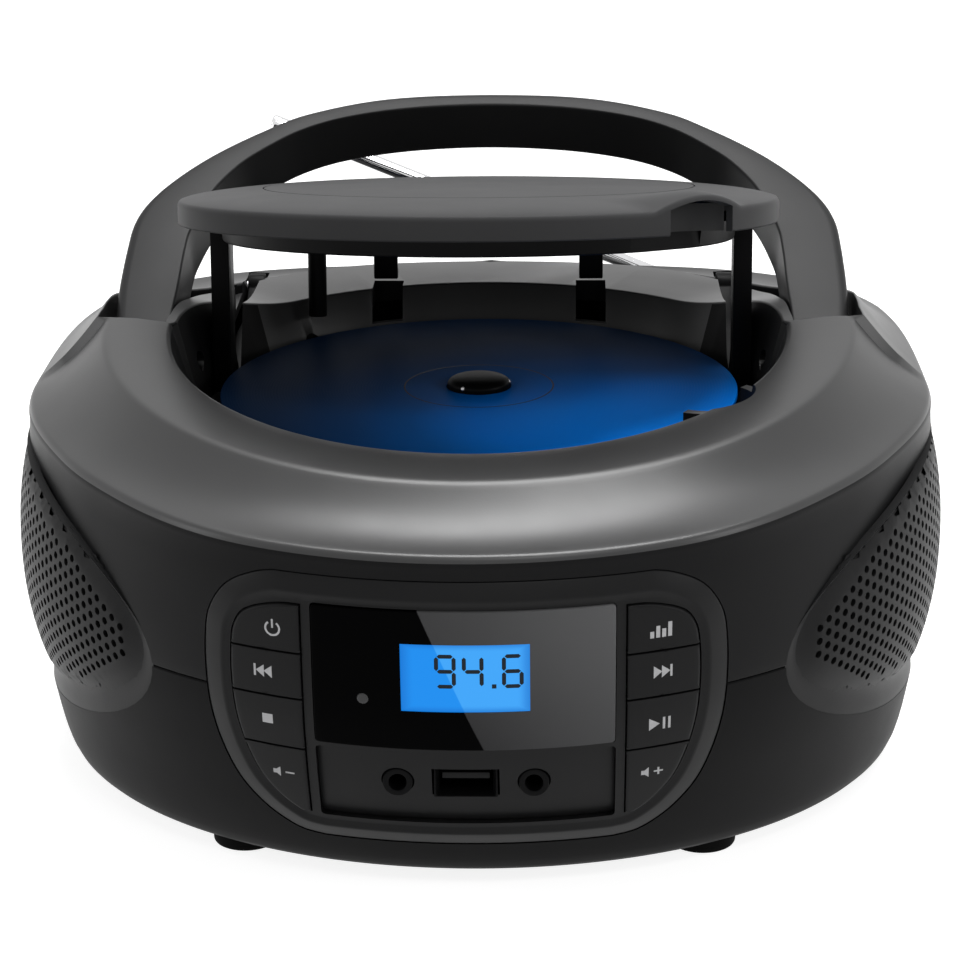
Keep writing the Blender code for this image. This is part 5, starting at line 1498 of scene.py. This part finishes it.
LID_FLAT = Matrix.Rotation(-LID_SHUT_TILT, 2) @ Vector((LID_SHUT[0] - LID_Y, LID_SHUT[1] - LID_Z))
LID_CENTRE_Y = LID_Y + LID_FLAT.x
LID_TOP = LID_Z + LID_FLAT.y
LID_TURN = Matrix.Rotation(LID_SHUT_TILT - LID_OPEN, 3, "X")
LID_PIVOT = Vector((0.0, LID_Y, LID_Z))
HOOD_WAY = Vector((math.sin(HOOD_TURN), -math.cos(HOOD_TURN)))
HOOD_SIDE = Vector((math.cos(HOOD_TURN), math.sin(HOOD_TURN)))


def opened(shape):
    """A shape given about the lid's middle, on its rim's level, moved to where the open lid stands."""
    points, faces = shape
    moved = []
    for x, y, z in points:
        flat = Vector((x, y + LID_CENTRE_Y, z + LID_TOP))
        moved.append(tuple(LID_TURN @ (flat - LID_PIVOT) + LID_PIVOT))
    return moved, faces


def lid_surface(x, y):
    """Height of the lid's top: a low dome, with the hood over the finger scoop."""
    radius = min(math.hypot(x, y), LID_R)
    dome = LID_DOME * math.sqrt(max(1.0 - (radius / LID_R) ** 2, 0.0))
    along, across = Vector((x, y)).dot(HOOD_WAY), Vector((x, y)).dot(HOOD_SIDE)
    if along <= HOOD_START_R or abs(across) >= HOOD_HALF:
        return dome
    arch_r = (HOOD_HALF ** 2 + HOOD_RISE ** 2) / (2.0 * HOOD_RISE)
    arch = math.sqrt(arch_r ** 2 - across ** 2) - arch_r + HOOD_RISE
    return dome + arch * blend(along, HOOD_START_R, LID_R - 2.0)


def hood_spot(along, across, z):
    """A place given along the finger hood's direction and across it."""
    return (*(HOOD_WAY * along + HOOD_SIDE * across), z)


def scoop(start, half, low):
    """Cutter for the finger scoop under the hood."""
    corners = [(-half, low), (-half, SCOOP_SIDE_RISE)]
    for i in range(1, SCOOP_STEPS):
        u = -half + 2.0 * half * i / SCOOP_STEPS
        corners.append((u, SCOOP_SIDE_RISE + (SCOOP_RISE - SCOOP_SIDE_RISE) * (1.0 - (u / half) ** 2)))
    corners += [(half, SCOOP_SIDE_RISE), (half, low)]
    ends = (start, LID_R + SCOOP_PAST)
    return opened(loft([[hood_spot(along, u, z) for u, z in corners] for along in ends]))


def lid_turns():
    """Turns round the lid, closer together over the hood."""
    turns = [math.radians(a) for a in range(0, 360, 2)]
    reach = math.asin(HOOD_HALF / LID_R)
    near = [HOOD_TURN - reach + 2.0 * reach * i / HOOD_STEPS for i in range(HOOD_STEPS + 1)]
    return sorted([a for a in turns if abs(a - HOOD_TURN) > reach + 0.01] + near)


def lid_cover():
    top_r, inner = LID_R - LID_ROUND, LID_R - LID_WALL
    rings = []
    for turn in lid_turns():
        x, y = math.sin(turn), -math.cos(turn)
        ring = [(0.0, lid_surface(0.0, 0.0))]
        for out, _ in quarter(LID_STEPS)[1:]:
            r = top_r * out
            ring.append((r, lid_surface(r * x, r * y)))
        last = ring[-1][1]
        drop = last - lid_surface(LID_R * x, LID_R * y) + LID_ROUND
        for out, level in quarter(ROUND_STEPS)[1:]:
            ring.append((top_r + LID_ROUND * out, last - drop * (1.0 - level)))
        ring += [(LID_R, -LID_SKIRT + LID_RIM), (LID_R - LID_RIM, -LID_SKIRT), (inner, -LID_SKIRT),
                 (inner, -LID_ROUND / 2.0), (0.0, LID_DOME - LID_CROWN_WALL)]
        rings.append([(r * x, r * y, z) for r, z in ring])
    made = to_object("lid_top", opened(loft(rings, closed=True)), LID_LOOK)
    groove = []
    for across, up in circle(1.0, GROOVE_STEPS):
        section = []
        for reach, drop in GROOVE_SECTION:
            r = SEAM_CIRCLE_R + reach
            x, y = r * across, SEAM_CIRCLE_BACK + r * up
            section.append((x, y, lid_surface(x, y) - drop))
        groove.append(section)
    carve(made, [opened(loft(groove, closed=True)), scoop(*LID_SCOOP)])
    finish_piece(made, "lid", "lid_cover")
    scoop_wall()


def scoop_wall():
    """Curved inner wall that closes the finger scoop."""
    low = -LID_SKIRT + 0.1
    outer, inner = SCOOP_WALL_RS
    rings = []
    for i in range(SCOOP_WALL_STEPS + 1):
        u = -SCOOP_HALF + 2.0 * SCOOP_HALF * i / SCOOP_WALL_STEPS
        bow = SCOOP_WALL_BOW * (1.0 - (u / SCOOP_HALF) ** 2)
        corners = ((outer, low), (outer, SCOOP_WALL_TOP), (inner, SCOOP_WALL_TOP), (inner, low))
        rings.append([hood_spot(along - bow, u, z) for along, z in corners])
    piece("lid_scoop_wall", opened(loft(rings)), LID_LOOK, "lid")


def lid_liner():
    flange = -LINER_SEAT
    low = flange - LINER_FLANGE
    under = low - LINER_DROP
    outer, outer_low, inner_low, inner = LINER_RING_RS
    profile = eased([(LINER_HOLE_R, flange, 0.2), (LINER_FLANGE_R, flange, 0.3), (LINER_FLANGE_R, low, 0.3),
                     (outer, low, 0.4), (outer_low, under, 0.5), (inner_low, under, 0.5), (inner, low, 0.5),
                     (LINER_HOLE_R, low, 0.2)])
    made = to_object("lid_lining", opened(turned(profile, LINER_STEPS)), BLACK)
    carve(made, [scoop(*LINER_SCOOP)])
    finish_piece(made, "lid", "lid_liner")
    root = flange - LINER_FLANGE / 2.0
    half = ARM_WIDE / 2.0
    parts = [slab(arm_outline(root), side * ARM_X - half, side * ARM_X + half, "X") for side in (-1, 1)]
    tip = low - HOOK_LONG
    half = HOOK_WIDE / 2.0
    for x in HOOK_XS:
        y = math.sqrt(HOOK_REACH ** 2 - x * x)
        back = y - HOOK_THICK
        outline = [(back, root), (back, tip + 1.0), (back + 0.5, tip), (y + 0.4, tip),
                   (y + HOOK_BARB, tip + HOOK_THICK + 0.3), (y, tip + HOOK_THICK + 0.6), (y, root)]
        parts.append(slab(outline, x - half, x + half, "X"))
    parts.append(rod(LOCK_R, (*LOCK, root), (*LOCK, low - LOCK_LONG)))
    for number, shape in enumerate(parts):
        part = to_object(f"lid_lining_part_{number}", opened(shape), BLACK)
        if number < 2:
            side = (-1, 1)[number]
            carve(part, [rod(HINGE_BORE_R, *((side * ARM_X + reach, LID_Y, LID_Z) for reach in (-6.0, 6.0)))])
        soften(part, LINER_PART_ROUND, 3)
        finish_piece(part, "lid")


def arm_outline(root):
    """Bent hinge arm from the liner down into the body and back to the pivot, about the lid's middle."""
    front, back = ARM_ROOT, ARM_ROOT + ARM_ROOT_LONG
    hinge_y, hinge_z = LID_Y - LID_CENTRE_Y, LID_Z - LID_TOP
    span = hinge_y - front
    dip = hinge_z - ARM_DIP
    corners = [(front, root)]
    corners += [(front + span * along, dip + ARM_DIP * up) for along, up in ARM_LOWER]
    for degrees in range(-60, 181, 20):
        a = math.radians(degrees)
        corners.append((hinge_y + HINGE_BOSS_R * math.cos(a), hinge_z + HINGE_BOSS_R * math.sin(a)))
    corners += [(front + span * along, dip + ARM_DIP * up) for along, up in ARM_UPPER]
    corners.append((back, root))
    return corners


def clamp():
    piece("clamp_button", opened(turned(eased(CLAMP_PROFILE), 72)), BLACK, "clamp", "disc_clamp")


# Antenna

def antenna():
    along = Vector((-math.cos(ANTENNA_TILT), 0.0, math.sin(ANTENNA_TILT)))
    start = Vector(ANTENNA)
    tilt = along.to_track_quat("Z", "Y").to_matrix()
    bodies = ("antenna_mast", "antenna_tube_2", "antenna_tube_3", "antenna_tube_4")
    last = len(ANTENNA_RS) - 1
    for number, radius in enumerate(ANTENNA_RS):
        low = ANTENNA_STEP / 2.0 * number
        length = ANTENNA_LONG + ANTENNA_STEP * number - low
        if number < last:
            bore = ANTENNA_RS[number + 1] + BORE_ROOM
            profile = [(0.0, 0.0, 0.0), (radius, 0.0, 0.3), (radius, length, 0.25), (bore, length, 0.1),
                       (bore, BORE_END, 0.0), (0.0, BORE_END, 0.0)]
        else:
            neck = length + TIP_NECK
            end = neck + TIP_LONG
            profile = [(0.0, 0.0, 0.0), (radius, 0.0, 0.0), (radius, neck, 0.0), (TIP_R, neck + 0.5, 0.3),
                       (TIP_R, end, 1.2), (0.0, end, 0.0)]
        points, faces = turned(eased(profile), 40)
        moved = [tuple(tilt @ Vector(p) + start + along * low) for p in points]
        piece(f"antenna_tube_{number + 1}_bright", (moved, faces), CHROME, bodies[number],
              f"antenna_section_{number + 1}")
    cap = turned(eased(TURRET_PROFILE), 56, ANTENNA, "Y")
    piece("antenna_turret_cap", cap, BLACK, "antenna_turret", "antenna_base")


def feet():
    profile = eased([(radius, BASE_Z - depth, rounding) for radius, depth, rounding in FOOT_PROFILE])
    for number, (x, y) in enumerate(FEET, 1):
        piece(f"rubber_foot_{number}", turned(profile, 56, (x, y, 0.0)), RUBBER, "housing", f"foot_{number}")


# Finishes of the CAD nodes that stay
KEPT = (
    (BLACK, ("disc_well", "pickup_sled", "cone_left", "cone_right", "battery_bay", "ac_inlet")),
    (STEEL, ("spindle_motor", "pickup_rail_left", "pickup_rail_right", "lid_hinge_pin_left",
             "lid_hinge_pin_right", "speaker_left", "speaker_right", "battery_contact_left",
             "battery_contact_right", "transformer")),
    (LOWER, ("battery_door",)),
    (BOARD, ("main_board", "key_board")),
)


def kept_nodes():
    for paint, names in KEPT:
        for name in names:
            materials = frame["nodes"][name].data.materials
            materials.clear()
            materials.append(paint)


# Studio

def stand(made, spot, turn):
    made.location = spot
    made.rotation_mode = "QUATERNION"
    made.rotation_quaternion = turn


def camera():
    data = bpy.data.cameras.new("camera")
    data.lens, data.sensor_width, data.sensor_fit = CAMERA_LENS, SENSOR_WIDE, "HORIZONTAL"
    data.clip_start, data.clip_end = CAMERA_CLIP
    level = math.cos(CAMERA_RISE)
    spot = Vector((level * math.sin(CAMERA_TURN), -level * math.cos(CAMERA_TURN), math.sin(CAMERA_RISE)))
    ahead = -spot
    side = ahead.cross(Vector((0.0, 0.0, 1.0))).normalized()
    ahead = Matrix.Rotation(-CAMERA_DIP, 3, side) @ ahead
    turn = ahead.to_track_quat("-Z", "Y") @ Quaternion((0.0, 0.0, 1.0), CAMERA_ROLL)
    made = linked("camera", data)
    stand(made, DISC_MIDDLE + spot * CAMERA_FAR * MM, turn)
    bpy.context.scene.camera = made


def lamp(name, spot, aim, wide, high, power):
    data = bpy.data.lights.new(name, "AREA")
    data.shape, data.size, data.size_y, data.energy = "RECTANGLE", wide, high, power
    stand(linked(name, data), spot, (Vector(aim) - Vector(spot)).to_track_quat("-Z", "Y"))


def seen_by(tree, *kinds):
    """1 for rays of these kinds, 0 for the rest."""
    paths = tree.nodes.new("ShaderNodeLightPath")
    seen, *others = (Value(tree, paths.outputs[f"Is {kind} Ray"]) for kind in kinds)
    for other in others:
        seen = seen.maximum(other)
    return seen


def studio():
    for values in LAMPS:
        lamp(*values)
    world = bpy.data.worlds.new("studio")
    bpy.context.scene.world = world
    tree = Tree(world)
    strength = SKY_GLOW + (1.0 - SKY_GLOW) * seen_by(tree, "Camera", "Glossy", "Transmission")
    tree.fill(tree.nodes["Background"], {"Color": (1.0, 1.0, 1.0), "Strength": strength})
    mesh = bpy.data.meshes.new("floor")
    corners = [(FLOOR_HALF * x, FLOOR_HALF * y, 0.0) for x, y in ((-1, -1), (1, -1), (1, 1), (-1, 1))]
    mesh.from_pydata(corners, [], [(0, 1, 2, 3)])
    floor = linked("floor", mesh)
    mesh.materials.append(look("studio_floor", floor_paint))


def floor_paint(tree):
    """White where it is seen or mirrored, and grey to the light, so that it takes the shadow."""
    return {
        "Base Color": (0.5, 0.5, 0.5),
        "Roughness": 0.9,
        "Specular IOR Level": 0.0,
        "Emission Color": tree.mix(seen_by(tree, "Camera", "Glossy"), (0.0, 0.0, 0.0), (0.86, 0.86, 0.86)),
        "Emission Strength": 1.0,
    }


top_housing()
bottom_housing()
grille("left", -1)
grille("right", 1)
front_panel()
buttons()
display()
sockets()
disc_and_hub()
handle()
lid_cover()
lid_liner()
clamp()
antenna()
feet()
kept_nodes()
camera()
studio()
bpy.context.scene.view_settings.view_transform = "Standard"
